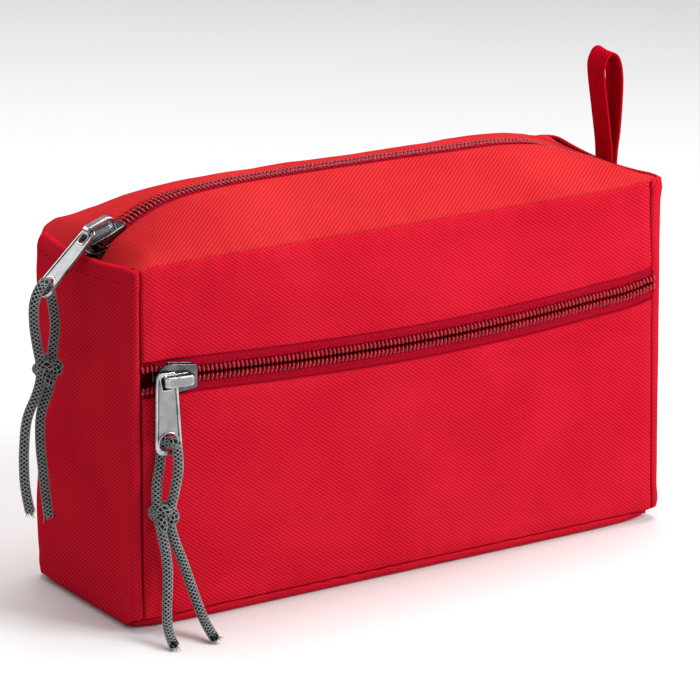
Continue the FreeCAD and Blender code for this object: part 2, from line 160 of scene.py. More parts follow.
class Bench:
    # adds nodes to one tree: type, settings, then socket values or links
    def __init__(self, tree):
        self.tree = tree

    def make(self, kind, settings=None, sockets=None, output=0):
        node = self.tree.nodes.new(kind)
        for key, value in (settings or {}).items():
            if key == "stops":
                for at, (place, tone) in enumerate(value):
                    stops = node.color_ramp.elements
                    stop = stops[at] if at < 2 else stops.new(place)
                    stop.position, stop.color = place, (*tone, 1.0)
            else:
                setattr(node, key, value)
        for key, value in (sockets or {}).items():
            if isinstance(value, Wire):
                self.tree.links.new(value.socket, node.inputs[key])
            else:
                node.inputs[key].default_value = value
        return Wire(self, node.outputs[output])

    def split(self, vector):
        node = self.make("ShaderNodeSeparateXYZ", None, {0: vector}).socket.node
        return [Wire(self, socket) for socket in node.outputs]

    def place(self, kind="Object"):
        node = self.make("ShaderNodeTexCoord").socket.node
        return Wire(self, node.outputs[kind])

    def speckle(self, where, scale, detail=2.0, rough=0.5):
        return self.make("ShaderNodeTexNoise", None,
                         {"Vector": where, "Scale": scale, "Detail": detail, "Roughness": rough})

    def mix(self, share, low, high):
        return self.make("ShaderNodeMix", {"data_type": "RGBA"},
                         {0: share, 6: (*low, 1.0) if isinstance(low, tuple) else low,
                          7: (*high, 1.0) if isinstance(high, tuple) else high}, output=2)


def linear(red, green, blue):
    # a screen colour as light
    return tuple(((c / 255 + 0.055) / 1.055) ** 2.4 if c > 10 else c / 255 / 12.92 for c in (red, green, blue))


finishes = {}


def newFinish(name, recipe, **steady):
    # recipe(bench) returns what varies: base, roughness, height and how deep the bump is
    finish = bpy.data.materials.new(name)
    finish.use_nodes = True
    bench = Bench(finish.node_tree)
    surface = finish.node_tree.nodes["Principled BSDF"]
    for key, value in steady.items():
        surface.inputs[key.replace("_", " ")].default_value = value
    varied = recipe(bench)
    for key in ("Base Color", "Roughness", "Metallic", "Alpha"):
        if key in varied:
            finish.node_tree.links.new(varied[key].socket, surface.inputs[key])
    if "height" in varied:
        bump = bench.make("ShaderNodeBump", None, {"Height": varied["height"], "Strength": 1.0,
                                                   "Distance": varied["deep"]})
        finish.node_tree.links.new(bump.socket, surface.inputs["Normal"])
    finishes[name] = finish
    return finish


# red cloth, coil, tape, ribbon, metal and cord finishes

cloth = {"deep": linear(166, 8, 32), "bright": linear(213, 38, 54), "ribPitch": 1.25, "dotPitch": 1.1,
         "ribDepth": 0.07 * mm, "rough": 0.52}


def clothRecipe(slant, deep=None, bright=None):
    # ribs at a slant, broken into dots, over slow changes of tone
    def recipe(bench):
        across, up, _ = bench.split(bench.place("UV"))
        turn = math.radians(slant)
        rib = (across * math.cos(turn) + up * math.sin(turn)) * (100 * 2 * math.pi / cloth["ribPitch"])
        dot = (up * math.cos(turn) - across * math.sin(turn)) * (100 * 2 * math.pi / cloth["dotPitch"])
        ribs = rib.sine() * 0.5 + 0.5
        dots = (dot + rib * 0.5).sine() * 0.5 + 0.5
        weave = ribs * 0.35 + ribs * dots * 0.65
        where = bench.place()
        slow = bench.speckle(where, 28.0, 3.0)
        grain = bench.speckle(where, 1400.0, 2.0)
        tone = (weave * 0.46 + slow * 0.38 + grain * 0.22).step(0.12, 0.9)
        return {"Base Color": bench.mix(tone, deep or cloth["deep"], bright or cloth["bright"]),
                "Roughness": cloth["rough"] + 0.12 * (slow - 0.5) + 0.10 * (1 - weave),
                "height": weave + grain * 0.35, "deep": cloth["ribDepth"]}
    return recipe


clothSheen = {"Specular_IOR_Level": 0.0}
newFinish("redClothFront", clothRecipe(52), **clothSheen)
# the top's copy of the red cloth is lighter and more orange: painted sheen where the top catches the light; its weave
# also slants the other way
newFinish("redClothTop", clothRecipe(-52, linear(166, 22, 34), linear(213, 58, 56)), **clothSheen)
newFinish("redLining", clothRecipe(45, linear(120, 4, 14), linear(176, 12, 24)), **clothSheen)


def wovenRecipe(deep, bright, pitch, depth):
    # plain weave on the piece's own UV
    def recipe(bench):
        across, up, _ = bench.split(bench.place("UV"))
        turns = 100 * 2 * math.pi / pitch
        weave = ((across * turns).sine() * (up * turns * 0.5).sine()) * 0.5 + 0.5
        grain = bench.speckle(bench.place(), 1800.0)
        tone = (weave * 0.6 + grain * 0.4).step(0.1, 0.9)
        return {"Base Color": bench.mix(tone, deep, bright), "Roughness": 0.62 + 0.2 * (1 - weave),
                "height": weave + grain * 0.3, "deep": depth}
    return recipe


newFinish("redTape", wovenRecipe(linear(112, 0, 22), linear(196, 10, 44), 0.9, 0.08 * mm), Specular_IOR_Level=0.05)
newFinish("redRibbon", wovenRecipe(linear(132, 2, 20), linear(204, 14, 38), 1.3, 0.16 * mm), Specular_IOR_Level=0.0)


def threadRecipe(deep, bright, rough):
    # smooth thread with fine streaks
    def recipe(bench):
        grain = bench.speckle(bench.place(), 900.0, 3.0)
        return {"Base Color": bench.mix(grain.step(0.3, 0.7), deep, bright), "Roughness": rough + 0.15 * grain,
                "height": grain, "deep": 0.03 * mm}
    return recipe


newFinish("redCoil", threadRecipe(linear(120, 0, 20), linear(196, 8, 38), 0.26), Specular_IOR_Level=0.5)
newFinish("redThread", threadRecipe(linear(128, 0, 22), linear(184, 8, 40), 0.6), Specular_IOR_Level=0.05)


def metalRecipe(deep, bright, rough):
    # plated metal: faint cloudiness and fine scuffs
    def recipe(bench):
        where = bench.place()
        cloudy = bench.speckle(where, 260.0, 3.0)
        scuff = bench.speckle(where, 2600.0, 2.0)
        return {"Base Color": bench.mix(cloudy.step(0.3, 0.7), deep, bright),
                "Roughness": rough + 0.12 * cloudy + 0.06 * scuff,
                "height": scuff * 0.5 + cloudy, "deep": 0.02 * mm}
    return recipe


newFinish("brightNickel", metalRecipe((0.34, 0.35, 0.37), (0.56, 0.57, 0.58), 0.14), Metallic=1.0)
newFinish("satinNickel", metalRecipe((0.26, 0.27, 0.28), (0.35, 0.36, 0.37), 0.30), Metallic=1.0)
# the same nickel darkened: painted shade for the slider body beneath its cap and for the tab's recessed groove
newFinish("nickelPaintedShade", metalRecipe((0.07, 0.075, 0.08), (0.16, 0.165, 0.17), 0.16), Metallic=1.0)


def braidRecipe(bench):
    # the strand attribute says how light each strand is
    strand = bench.make("ShaderNodeAttribute", {"attribute_name": "strand"}, None, output=2)
    grain = bench.speckle(bench.place(), 2200.0, 3.0)
    tone = (strand + (grain - 0.5) * 0.5).step(0.2, 0.9)
    return {"Base Color": bench.mix(tone, (0.004, 0.004, 0.005), (0.30, 0.32, 0.32)),
            "Roughness": 0.55 + 0.25 * grain, "height": grain, "deep": 0.05 * mm}


newFinish("braidedCord", braidRecipe, Specular_IOR_Level=0.2)
print("finishes made")

# shared builders


def newPiece(name, verts, faces, finish, slot, uv=None, smooth=True):
    mesh = bpy.data.meshes.new(name)
    mesh.from_pydata([tuple(v) for v in verts], [], faces)
    mesh.validate()
    if uv is not None:
        layer = mesh.uv_layers.new(name="UVMap")
        index = np.zeros(len(mesh.loops), int)
        mesh.loops.foreach_get("vertex_index", index)
        layer.data.foreach_set("uv", np.array(uv, float)[index].ravel())
    mesh.polygons.foreach_set("use_smooth", [smooth] * len(mesh.polygons))
    mesh.materials.append(finishes[finish])
    piece = bpy.data.objects.new(name, mesh)
    scene.collection.objects.link(piece)
    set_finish(piece, slot)
    return piece


def applyModifiers(piece):
    graph = bpy.context.evaluated_depsgraph_get()
    made = bpy.data.meshes.new_from_object(piece.evaluated_get(graph))
    piece.modifiers.clear()
    piece.data = made
    return piece


def thicken(piece, thickness, finish=None):
    # cloth gets its thickness inwards, with a lining colour if one is named
    wall = piece.modifiers.new("thickness", "SOLIDIFY")
    wall.thickness, wall.offset = thickness, -1.0
    wall.use_even_offset = True
    if finish:
        piece.data.materials.append(finishes[finish])
        wall.material_offset = 1
        wall.material_offset_rim = 0
    return applyModifiers(piece)


def joined(name, parts, finish=None):
    # several meshes become one piece
    graph = bpy.context.evaluated_depsgraph_get()
    shape, used = bmesh.new(), []
    for part in parts:
        mesh = bpy.data.meshes.new_from_object(part.evaluated_get(graph))
        mesh.transform(part.matrix_world)
        own = [finishes[finish]] if finish else list(mesh.materials)
        used += [m for m in own if m not in used]
        for face in mesh.polygons:
            face.material_index = used.index(own[min(face.material_index, len(own) - 1)])
        shape.from_mesh(mesh)
        bpy.data.meshes.remove(mesh)
    mesh = bpy.data.meshes.new(name)
    shape.to_mesh(mesh)
    shape.free()
    for own in used:
        mesh.materials.append(own)
    piece = bpy.data.objects.new(name, mesh)
    scene.collection.objects.link(piece)
    for part in parts:
        bpy.data.objects.remove(part)
    return piece


def sheetGrid(name, columns, rows, place, finish, slot, flip=False, spread=None):
    # a sheet of cloth from place(across, up) with both shares from 0 to 1; UV is its size in tenths of a metre
    shares = [(i / columns, j / rows) for j in range(rows + 1) for i in range(columns + 1)]
    if spread:
        shares = [spread(across, up) for across, up in shares]
    verts = [Vector(place(across, up)) for across, up in shares]
    grid = np.array([tuple(v) for v in verts]).reshape(rows + 1, columns + 1, 3)
    along = np.linalg.norm(np.diff(grid, axis=1), axis=2)
    rise = np.linalg.norm(np.diff(grid, axis=0), axis=2)
    width = np.concatenate([np.zeros((rows + 1, 1)), np.cumsum(along, axis=1)], axis=1)
    width -= width[:, -1:] / 2
    height = np.concatenate([np.zeros((1, columns + 1)), np.cumsum(rise, axis=0)], axis=0)
    uv = np.stack([width, height], axis=2).reshape(-1, 2) / 0.1
    faces = []
    for j in range(rows):
        for i in range(columns):
            a = j * (columns + 1) + i
            face = (a, a + 1, a + columns + 2, a + columns + 1)
            faces.append(face[::-1] if flip else face)
    return newPiece(name, verts, faces, finish, slot, uv)


def ease(value, low, high):
    share = min(1.0, max(0.0, (value - low) / (high - low)))
    return share * share * (3 - 2 * share)


def through(points):
    # a smooth line through a few (place, height) points
    xs, ys = np.array(points, float).T
    slopes = np.gradient(ys, xs)

    def value(x):
        x = min(max(x, xs[0]), xs[-1])
        k = min(max(int(np.searchsorted(xs, x)) - 1, 0), len(xs) - 2)
        span = xs[k + 1] - xs[k]
        s = (x - xs[k]) / span
        return ((2 * s**3 - 3 * s**2 + 1) * ys[k] + (s**3 - 2 * s**2 + s) * span * slopes[k]
                + (3 * s**2 - 2 * s**3) * ys[k + 1] + (s**3 - s**2) * span * slopes[k + 1])
    return value


def ripple(x, y, z, size, seed):
    # slow wrinkles, from -1 to 1
    return noise.noise(Vector((x / size + seed, y / size, z / size)))


# pull cords: routes in metres, tail by tail

cords = {"diameter": 4.0 * mm, "strands": 5, "strandRadius": 0.19 * mm, "braidPitch": 8.0 * mm, "step": 0.55 * mm}
routes = {
    "top_cord_outer_half": [
        (-136.5, -1.5, 128.4), (-140.3, -1.5, 124.3), (-141.0, -1.5, 115.0), (-139.5, -1.2, 105.0),
        (-137.4, -1.0, 95.2), (-139.2, -1.0, 87.0), (-144.5, -1.5, 78.5), (-146.0, -2.0, 69.0),
        (-146.4, -2.0, 59.0), (-145.6, -1.5, 49.5), (-143.6, -1.0, 41.5)],
    "top_cord_inner_half": [
        (-132.2, 1.2, 123.8), (-130.6, 1.5, 117.0), (-130.4, 1.0, 109.0), (-132.4, 0.2, 101.5),
        (-132.9, -1.0, 94.5), (-134.8, -1.0, 86.5), (-138.6, -1.2, 79.5), (-139.2, -1.5, 68.0),
        (-138.0, -1.5, 56.0), (-136.9, -1.2, 46.0), (-135.8, -1.0, 38.5)],
    "front_cord_outer_half": [
        (-108.4, -48.4, 75.4), (-107.4, -48.9, 67.0), (-108.9, -47.9, 57.0), (-110.2, -45.6, 47.0),
        (-108.8, -45.8, 38.5), (-105.2, -46.0, 29.5), (-102.2, -46.6, 20.0), (-100.4, -49.4, 11.0),
        (-100.0, -55.0, 4.6), (-100.8, -61.8, 2.4)],
    "front_cord_inner_half": [
        (-110.6, -41.7, 75.4), (-111.4, -42.1, 67.0), (-114.2, -43.2, 57.0), (-114.6, -45.2, 47.0),
        (-112.8, -46.0, 38.0), (-111.2, -46.2, 28.5), (-111.6, -46.8, 19.0), (-113.6, -49.0, 10.5),
        (-115.6, -53.8, 4.6), (-117.0, -60.0, 2.4)],
}
bights = {
    "top": [(-137.4, -1.5, 127.3), (-136.5, -1.5, 128.4), (-135.2, -1.1, 128.6), (-134.3, -0.1, 126.3),
            (-132.3, 0.9, 125.4), (-132.2, 1.2, 123.8), (-131.8, 1.3, 122.6)],
    "front": [(-108.3, -48.5, 73.6), (-108.4, -48.4, 75.2), (-109.0, -47.0, 75.6), (-109.5, -45.05, 73.9),
              (-110.0, -43.1, 75.6), (-110.6, -41.7, 75.2), (-110.7, -41.7, 73.6)],
}
knots = {"top": {"centre": (-135.1, -1.0, 95.0), "tilt": 8}, "front": {"centre": (-112.4, -45.4, 47.0), "tilt": -12}}


def smoothLine(points):
    # the line of a NURBS spline over the route, as evenly spaced points
    curve = bpy.data.curves.new("route", "CURVE")
    curve.dimensions = "3D"
    spline = curve.splines.new("NURBS")
    spline.points.add(len(points) - 1)
    for point, place in zip(spline.points, points):
        point.co = (*(Vector(place) * mm), 1.0)
    spline.order_u = 3
    spline.use_endpoint_u = True
    curve.resolution_u = 16
    holder = bpy.data.objects.new("route", curve)
    scene.collection.objects.link(holder)
    graph = bpy.context.evaluated_depsgraph_get()
    mesh = bpy.data.meshes.new_from_object(holder.evaluated_get(graph))
    line = np.array([v.co for v in mesh.vertices])
    bpy.data.objects.remove(holder)
    return evenly(line, cords["step"])


def evenly(line, step):
    reach = np.concatenate([[0], np.cumsum(np.linalg.norm(np.diff(line, axis=0), axis=1))])
    count = max(int(round(reach[-1] / step)), 2)
    marks = np.linspace(0, reach[-1], count + 1)
    return np.stack([np.interp(marks, reach, line[:, axis]) for axis in range(3)], axis=1)


def carriedFrames(line, closed=False):
    # tangent and two sides at each point, carried along without twist
    tangents = np.gradient(line, axis=0)
    if closed:
        tangents = np.roll(line, -1, axis=0) - np.roll(line, 1, axis=0)
    tangents /= np.linalg.norm(tangents, axis=1)[:, None]
    side = np.cross(tangents[0], (0.3, 0.5, 0.8))
    sides = []
    for tangent in tangents:
        side = side - tangent * (side @ tangent)
        side /= np.linalg.norm(side)
        sides.append(side)
    sides = np.array(sides)
    return tangents, sides, np.cross(tangents, sides)


def tubeAlong(line, radius, corners, verts, faces, tones, tone):
    # adds a closed tube to the lists
    tangents, sides, ups = carriedFrames(line)
    first = len(verts)
    for at in range(len(line)):
        taper = radius[at] if hasattr(radius, "__len__") else radius
        for k in range(corners):
            turn = 2 * math.pi * k / corners
            verts.append(line[at] + taper * (math.cos(turn) * sides[at] + math.sin(turn) * ups[at]))
            tones.append(tone)
    for at in range(len(line) - 1):
        for k in range(corners):
            low, nextUp = first + at * corners, first + (at + 1) * corners
            faces.append((low + k, low + (k + 1) % corners, nextUp + (k + 1) % corners, nextUp + k))
    faces.append(tuple(first + k for k in reversed(range(corners))))
    faces.append(tuple(len(verts) - corners + k for k in range(corners)))


def braidOver(line, name, seed, frayed=True, closed=False, squeeze=1.0):
    # two sets of strands that pass over and under each other round a dark core
    rng = random.Random(seed)
    tangents, sides, ups = carriedFrames(line, closed)
    steps = np.arange(len(line)) * cords["step"]
    count, size = cords["strands"], cords["strandRadius"] * squeeze
    reach = (cords["diameter"] / 2 - cords["strandRadius"] * 1.25) * squeeze
    verts, faces, tones = [], [], []
    tubeAlong(line, reach * 0.97, 12, verts, faces, tones, 0.0)
    rate = 2 * math.pi / cords["braidPitch"]
    for way in (1, -1):
        for strand in range(count):
            turn = way * rate * steps + 2 * math.pi * strand / count + (0.2 if way < 0 else 0)
            out = reach + way * 0.25 * cords["strandRadius"] * np.cos(count * rate * steps)
            path = line + out[:, None] * (np.cos(turn)[:, None] * sides + np.sin(turn)[:, None] * ups)
            light = 0.9
            tubeAlong(path, size, 5, verts, faces, tones, light * rng.uniform(0.75, 1.0))
    if frayed:
        tip, way = line[-1], tangents[-1]
        for hair in range(46):
            out = rng.uniform(0.2, 1.0) * cords["diameter"] / 2
            turn = rng.uniform(0, 2 * math.pi)
            spread = math.cos(turn) * sides[-1] + math.sin(turn) * ups[-1]
            long = rng.uniform(1.6, 3.6) * mm
            start = tip - way * 1.5 * mm + spread * out
            bow = rng.uniform(-0.2, 0.55)
            hairLine = np.array([start + way * long * s + spread * bow * long * s * s for s in (0, 0.35, 0.7, 1.0)])
            hairLine[:, 2] = np.maximum(hairLine[:, 2], 0.15 * mm)
            tubeAlong(hairLine, [0.14 * mm, 0.12 * mm, 0.09 * mm, 0.04 * mm], 4, verts, faces, tones,
                      rng.choice((0.1, 0.9)))
    piece = newPiece(name, verts, faces, "braidedCord", "braided_cord")
    strand = piece.data.attributes.new("strand", "FLOAT", "POINT")
    strand.data.foreach_set("value", np.array(tones, np.float32))
    return piece


def addKnot(which):
    # an overhand knot: a trefoil of the same cord, drawn up tight
    size, knot = {"across": 3.7, "deep": 2.7, "tall": 4.6}, knots[which]
    turns = np.linspace(0, 2 * math.pi, 180, endpoint=False)
    tilt = math.radians(knot["tilt"])
    flat = (np.sin(turns) + 2 * np.sin(2 * turns)) / 3
    high = (np.cos(turns) - 2 * np.cos(2 * turns)) / 3
    x = (flat * math.cos(tilt) - high * math.sin(tilt)) * size["across"]
    z = (flat * math.sin(tilt) + high * math.cos(tilt)) * size["tall"]
    line = np.stack([x, -np.sin(3 * turns) * size["deep"], z], axis=1) * mm + np.array(knot["centre"]) * mm
    line = evenly(np.vstack([line, line[:1]]), cords["step"])
    piece = braidOver(line, f"{which}_knot_of_cord", 40 + len(which), frayed=False)
    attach(piece, f"{which}_cord")
    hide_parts(f"{which}_cord_knot")
    return piece


for which in ("top", "front"):
    knotPiece = addKnot(which)
    bight = braidOver(smoothLine(bights[which]), f"{which}_cord_bight", 90 + len(which), frayed=False)
    middle = Vector(bights[which][3]) * mm
    tuple(middle)
    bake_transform(bight)
    share = [ease((v.co - middle).length / mm, 1.5, 4.0) for v in bight.data.vertices]
    for half in ("outer", "inner"):
        node = f"{which}_cord_{half}_half"
        line = smoothLine(routes[node])
        tail = braidOver(line, f"{which}_cord_{half}_braid", len(node) * 7 + len(half))
        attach(tail, f"{which}_cord")
        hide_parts(node)
        reach = float(np.linalg.norm(np.diff(line, axis=0), axis=1).sum())
        print(node, "route length", round(reach / mm, 1), "mm")
print("cords braided")

# cloth shell of the pouch, sizes in millimetres

pouch = {"depth": 77.0, "height": 140.0, "halfTop": 119.4, "halfBase": 121.0, "leftFold": 3.2, "rightFold": 5.0,
         "rearFold": 7.0, "leftSeam": -117.0, "rightSeamTop": 112.0, "rightSeamBase": 117.2, "trayHeight": 4.8,
         "thick": 1.1, "seamRoll": 1.1, "seamPuff": 0.45, "puffAt": 4.5}
frontZip = {"radius": 981.3, "centreY": 935.8, "height": 97.5, "slot": 6.6, "parkX": -104.0,
            "sag": through([(-118, 0.0), (-104, 0.0), (-55, -1.2), (0, -2.0), (50, -1.2), (82, 0.0), (104, 0.8),
                            (118, 3.0)])}
topZip = {"radius": 320.0, "centreZ": -159.3, "edge": 5.4, "parkX": -110.0,
          "ridge": through([(-121, 128.0), (-116, 133.6), (-110, 140.9), (-104, 144.7), (-97, 148.3), (-90, 151.2),
                            (-80, 153.5), (-66, 154.9), (-33, 155.6), (0, 155.5), (40, 155.0), (70, 154.0),
                            (84, 151.6), (91, 148.8), (98, 146.2), (105, 143.9), (112, 141.6), (121, 138.0)])}
frontWall, rearWall = -pouch["depth"] / 2, pouch["depth"] / 2


def halfWidth(z):
    return pouch["halfBase"] + (pouch["halfTop"] - pouch["halfBase"]) * z / pouch["height"]


def rightSeam(z):
    return pouch["rightSeamBase"] + (pouch["rightSeamTop"] - pouch["rightSeamBase"]) * z / pouch["height"]


def seamDrop(distance):
    # how far cloth has turned in at this distance from its seam, less the puff beside it
    roll = pouch["seamRoll"]
    turned = roll - math.sqrt(max(0.0, roll**2 - (roll - distance) ** 2)) if distance < roll else 0.0
    return turned - pouch["seamPuff"] * math.exp(-(((distance - pouch["puffAt"]) / 3.2) ** 2))


def edgeSpread():
    # rows gather near both seams, where the cloth turns
    def spread(across, up):
        ends = [0.5 - 0.5 * math.cos(math.pi * share) for share in (across, up)]
        return (0.45 * across + 0.55 * ends[0], 0.45 * up + 0.55 * ends[1])
    return spread


def frontZipY(x):
    return frontZip["centreY"] - math.sqrt(frontZip["radius"] ** 2 - x * x)


def topHeight(x, rear):
    # height of the long top seams; the right end stands a little higher
    rise = 3.4 * ease(x, -60, 112) if rear else 1.8 * ease(x, 92, 119)
    return pouch["height"] + rise - (3.2 if rear else 1.2) * ease(-x, 108, 119.4)


def frontSheet(lower):
    # a front panel from its seam to the zip's slot
    slotEdge = -frontZip["slot"] if lower else frontZip["slot"]

    def place(across, up):
        nearSlot = up if lower else 1 - up
        seamZ = pouch["trayHeight"] if lower else pouch["height"] - 0.4
        guess = seamZ + (frontZip["height"] + slotEdge - seamZ) * nearSlot
        left, right = pouch["leftSeam"], rightSeam(guess)
        x = left + (right - left) * across
        if not lower:
            seamZ = topHeight(x, False) - 0.4
        edgeZ = frontZip["height"] + slotEdge + frontZip["sag"](x)
        z = seamZ + (edgeZ - seamZ) * nearSlot
        base = frontWall + (frontZipY(x) - 0.5 - frontWall) * nearSlot
        toSide = min(x - left, right - x)
        toSeam, toSlot = abs(z - seamZ), abs(edgeZ - z)
        drop = seamDrop(toSide) + seamDrop(toSeam) + seamDrop(toSlot * 1.2) * 0.8
        crown = math.sin(math.pi * across) ** 0.7 * math.sin(math.pi * min(1, up)) ** 0.8 if 0 < up < 1 else 0.0
        crown *= 1.9 if lower else 1.0
        calm = ease(min(toSide, toSeam, toSlot), 0, 14)
        slow = ripple(x, 0, z, 46, 3.1) * 0.9 + ripple(x * 0.7, 9, z * 1.6, 19, 8.7) * 0.28
        pucker = math.sin(x * 0.62 + 2.5 * ripple(x, 4, z, 30, 1.7)) * 0.16 * math.exp(-min(toSeam, 40) / 7)
        return Vector((x, base + drop - crown - calm * slow - pucker, z)) * mm
    return place


def baseSeam(y):
    # the seam of the bottom runs higher along the front
    return 1.6 + (pouch["trayHeight"] - 1.6) * ease(-y, 30, 37.5)


def wrapSheet(across, up):
    # one strip from the front's left seam round the left end, the back and the right end to the front again
    z = pouch["trayHeight"] + (pouch["height"] - pouch["trayHeight"]) * up
    half = halfWidth(z)
    folds = [pouch["leftFold"], pouch["rearFold"], pouch["rearFold"], pouch["rightFold"]]
    corners = [(-half, frontWall), (-half, rearWall), (half, rearWall), (half, frontWall)]
    start, end = (pouch["leftSeam"], frontWall), (rightSeam(z), frontWall)
    route, last = [], start
    for corner, fold, after in zip(corners, folds, corners[1:] + [end]):
        came = Vector((corner[0] - last[0], corner[1] - last[1])).normalized()
        goes = Vector((after[0] - corner[0], after[1] - corner[1])).normalized()
        tight = min(fold, abs(corner[0] - start[0]) if corner is corners[0] else fold,
                    abs(corner[0] - end[0]) if corner is corners[3] else fold)
        enter = Vector(corner) - came * tight
        centre = enter + goes * tight
        route.append(("run", Vector(last), enter, came))
        route.append(("turn", centre, tight, came, goes))
        last = tuple(enter + came * tight + goes * tight)
    route.append(("run", Vector(last), Vector(end), goes))
    lengths = [(r[2] - r[1]).length if r[0] == "run" else r[2] * math.pi / 2 for r in route]
    mark = across * sum(lengths)
    for piece, long in zip(route, lengths):
        if mark <= long or piece is route[-1]:
            break
        mark -= long
    if piece[0] == "run":
        at = piece[1] + piece[3] * min(mark, long)
        nearEnd = abs(abs(at.x) - half) < 0.5
        out = Vector((math.copysign(1, at.x), 0)) if nearEnd else Vector((0, math.copysign(1, at.y)))
    else:
        turn = mark / piece[2]
        out = (-piece[4] * math.cos(turn) + piece[3] * math.sin(turn))
        at = piece[1] + out * piece[2]
    sideShare = 1 - (at.y / rearWall) ** 2 if abs(at.x) > half - 9 else 0.0
    backShare = 1 - (at.x / half) ** 2 if at.y > rearWall - 9 else 0.0
    rise = math.sin(math.pi * up) ** 0.8 if 0 < up < 1 else 0.0
    crown = rise * (1.6 * max(sideShare, 0) + 2.2 * max(backShare, 0) ** 0.6)
    toSeam = min(across * sum(lengths), (1 - across) * sum(lengths))
    calm = ease(min(toSeam, z - pouch["trayHeight"], pouch["height"] - z), 0, 16)
    slow = ripple(at.x * 0.8, at.y, z * 0.55, 30, 5.3) * 1.5 + ripple(at.x, at.y * 1.3, z, 15, 2.2) * 0.35
    tops = topHeight(at.x, at.y > 0) if abs(at.y) > 30 or abs(at.x) < half - 12 else None
    if tops is None:
        blend = (at.y + 30) / 60
        sagged = -2.0 * (1 - (at.y / 30) ** 2)
        tops = topHeight(at.x, False) * (1 - blend) + topHeight(at.x, True) * blend + sagged
    base = baseSeam(at.y)
    z = base + (tops - base) * up
    toBase, toTop = z - base, tops - z
    rolled = 1.8 * math.exp(-toTop / 3.0) * ease(at.y, 14, 32) * ease(-at.x, 100, 112)
    push = crown + calm * slow - rolled - seamDrop(toSeam) - seamDrop(toBase) - seamDrop(toTop) * 1.3
    return Vector((at.x + out.x * push, at.y + out.y * push, z)) * mm


def traySheet(across, up):
    # the bottom, with its edge turned up to the seam all round
    turn, share = 2 * math.pi * across, up
    half, deep, fold = pouch["halfBase"] - 0.9, rearWall - 0.6, 4.2
    c, s = math.cos(turn), math.sin(turn)
    power = 0.16
    edge = Vector((math.copysign(abs(c) ** power, c), math.copysign(abs(s) ** power, s), 0))
    edge = Vector((edge.x * half, edge.y * deep, 0))
    inner = Vector((edge.x * (1 - fold / half), edge.y * (1 - fold / deep), 0))
    if share < 0.6:
        at = inner * (share / 0.6)
        return (at + Vector((0, 0, 0.15 + 0.25 * (1 - share / 0.6)))) * mm
    angle = (share - 0.6) / 0.4 * math.pi / 2
    out = edge - inner
    rise = (baseSeam(edge.y) - 0.15) * (1 - math.cos(angle))
    at = inner + out * math.sin(angle) + Vector((0, 0, 0.15 + rise))
    if share > 0.97:
        at -= out.normalized() * 0.9
    return at * mm


def roundCorner(x, y, left, right, side):
    # the top's corners follow the folds of the walls below them
    fold = pouch["rearFold"] if side > 0 else pouch["leftFold"] if x < 0 else pouch["rightFold"]
    end = -1 if x < 0 else 1
    middle = Vector((left + fold if x < 0 else right - fold, side * (rearWall - 0.4 - fold)))
    past = Vector(((x - middle.x) * end, (y - middle.y) * side))
    if min(past) <= 0 or past.length <= fold:
        return x, y
    past *= fold / past.length
    return middle.x + past.x * end, middle.y + past.y * side


def topSheet(rear):
    side = 1 if rear else -1

    def place(across, up):
        # up runs from the long seam to the zip
        left, right = -118.2, 117.4
        x = left + (right - left) * across
        seamY = side * (rearWall - 0.4)
        y = seamY + (side * topZip["edge"] - seamY) * up
        ridge = topZip["ridge"](x) + 0.3
        seam = topHeight(x, rear) + 0.1
        share = up
        lift = share ** (0.80 if rear else 1.0)
        z = seam + (ridge - seam) * lift
        crown = math.sin(math.pi * share) * (2.4 + 1.6 * ease(x, 40, 105)) * ease(119 - abs(x), 0, 26)
        toSeam, toZip = abs(y - seamY), abs(y - side * topZip["edge"])
        toEnd = min(x - left, right - x)
        calm = ease(min(toSeam, toZip, toEnd), 0, 12)
        slow = ripple(x, y, 0, 40, 6.6 + side) * 1.1 + ripple(x * 1.2, y, 3, 17, 2.9 + side) * 0.32
        pucker = math.sin(x * 0.55 + 3 * ripple(x, y, 1, 34, 4.4)) * 0.2 * math.exp(-toSeam / 6)
        endTuck = 1.6 * math.exp(-toEnd / 1.6)
        x, y = roundCorner(x, y, left, right, side)
        return Vector((x, y, z + crown + calm * slow + pucker - seamDrop(toSeam) - seamDrop(toZip) - endTuck)) * mm
    return place


def ridePiece(piece, body, *nodes):
    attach(piece, body)
    if nodes:
        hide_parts(*nodes)
    return piece


mouth = {"leftFrom": -102.0, "leftTo": -84.0, "rightFrom": 80.0, "rightTo": 96.0}


def mouthShare(x):
    # how much of a flap's lift the cloth takes at this place along the mouth
    return ease(x, mouth["leftFrom"], mouth["leftTo"]) * (1 - ease(x, mouth["rightFrom"], mouth["rightTo"]))


def joinFlap(piece):
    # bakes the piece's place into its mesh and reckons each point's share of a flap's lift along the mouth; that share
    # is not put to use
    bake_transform(piece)
    share = np.array([mouthShare(v.co.x / mm) for v in piece.data.vertices], np.float32)


lowerFront = thicken(sheetGrid("front_lower_cloth", 190, 76, frontSheet(True), "redClothFront", "red_cloth",
                               spread=edgeSpread()), pouch["thick"] * mm, "redLining")
ridePiece(lowerFront, "bag", "front_lower_panel")
upperFront = thicken(sheetGrid("front_upper_cloth", 190, 40, frontSheet(False), "redClothFront", "red_cloth",
                               spread=edgeSpread()), pouch["thick"] * mm, "redLining")
ridePiece(upperFront, "bag", "front_upper_panel")
wrap = thicken(sheetGrid("end_and_back_cloth", 420, 90, wrapSheet, "redClothFront", "red_cloth", flip=True,
                         spread=lambda a, b: (a, 0.5 * b + 0.5 * (0.5 - 0.5 * math.cos(math.pi * b)))),
               pouch["thick"] * mm, "redLining")
ridePiece(wrap, "bag", "left_end_panel", "right_end_panel", "back_panel")
tray = thicken(sheetGrid("bottom_cloth", 260, 26, traySheet, "redClothFront", "red_cloth", flip=False),
               pouch["thick"] * mm, "redLining")
ridePiece(tray, "bag", "bottom_panel")
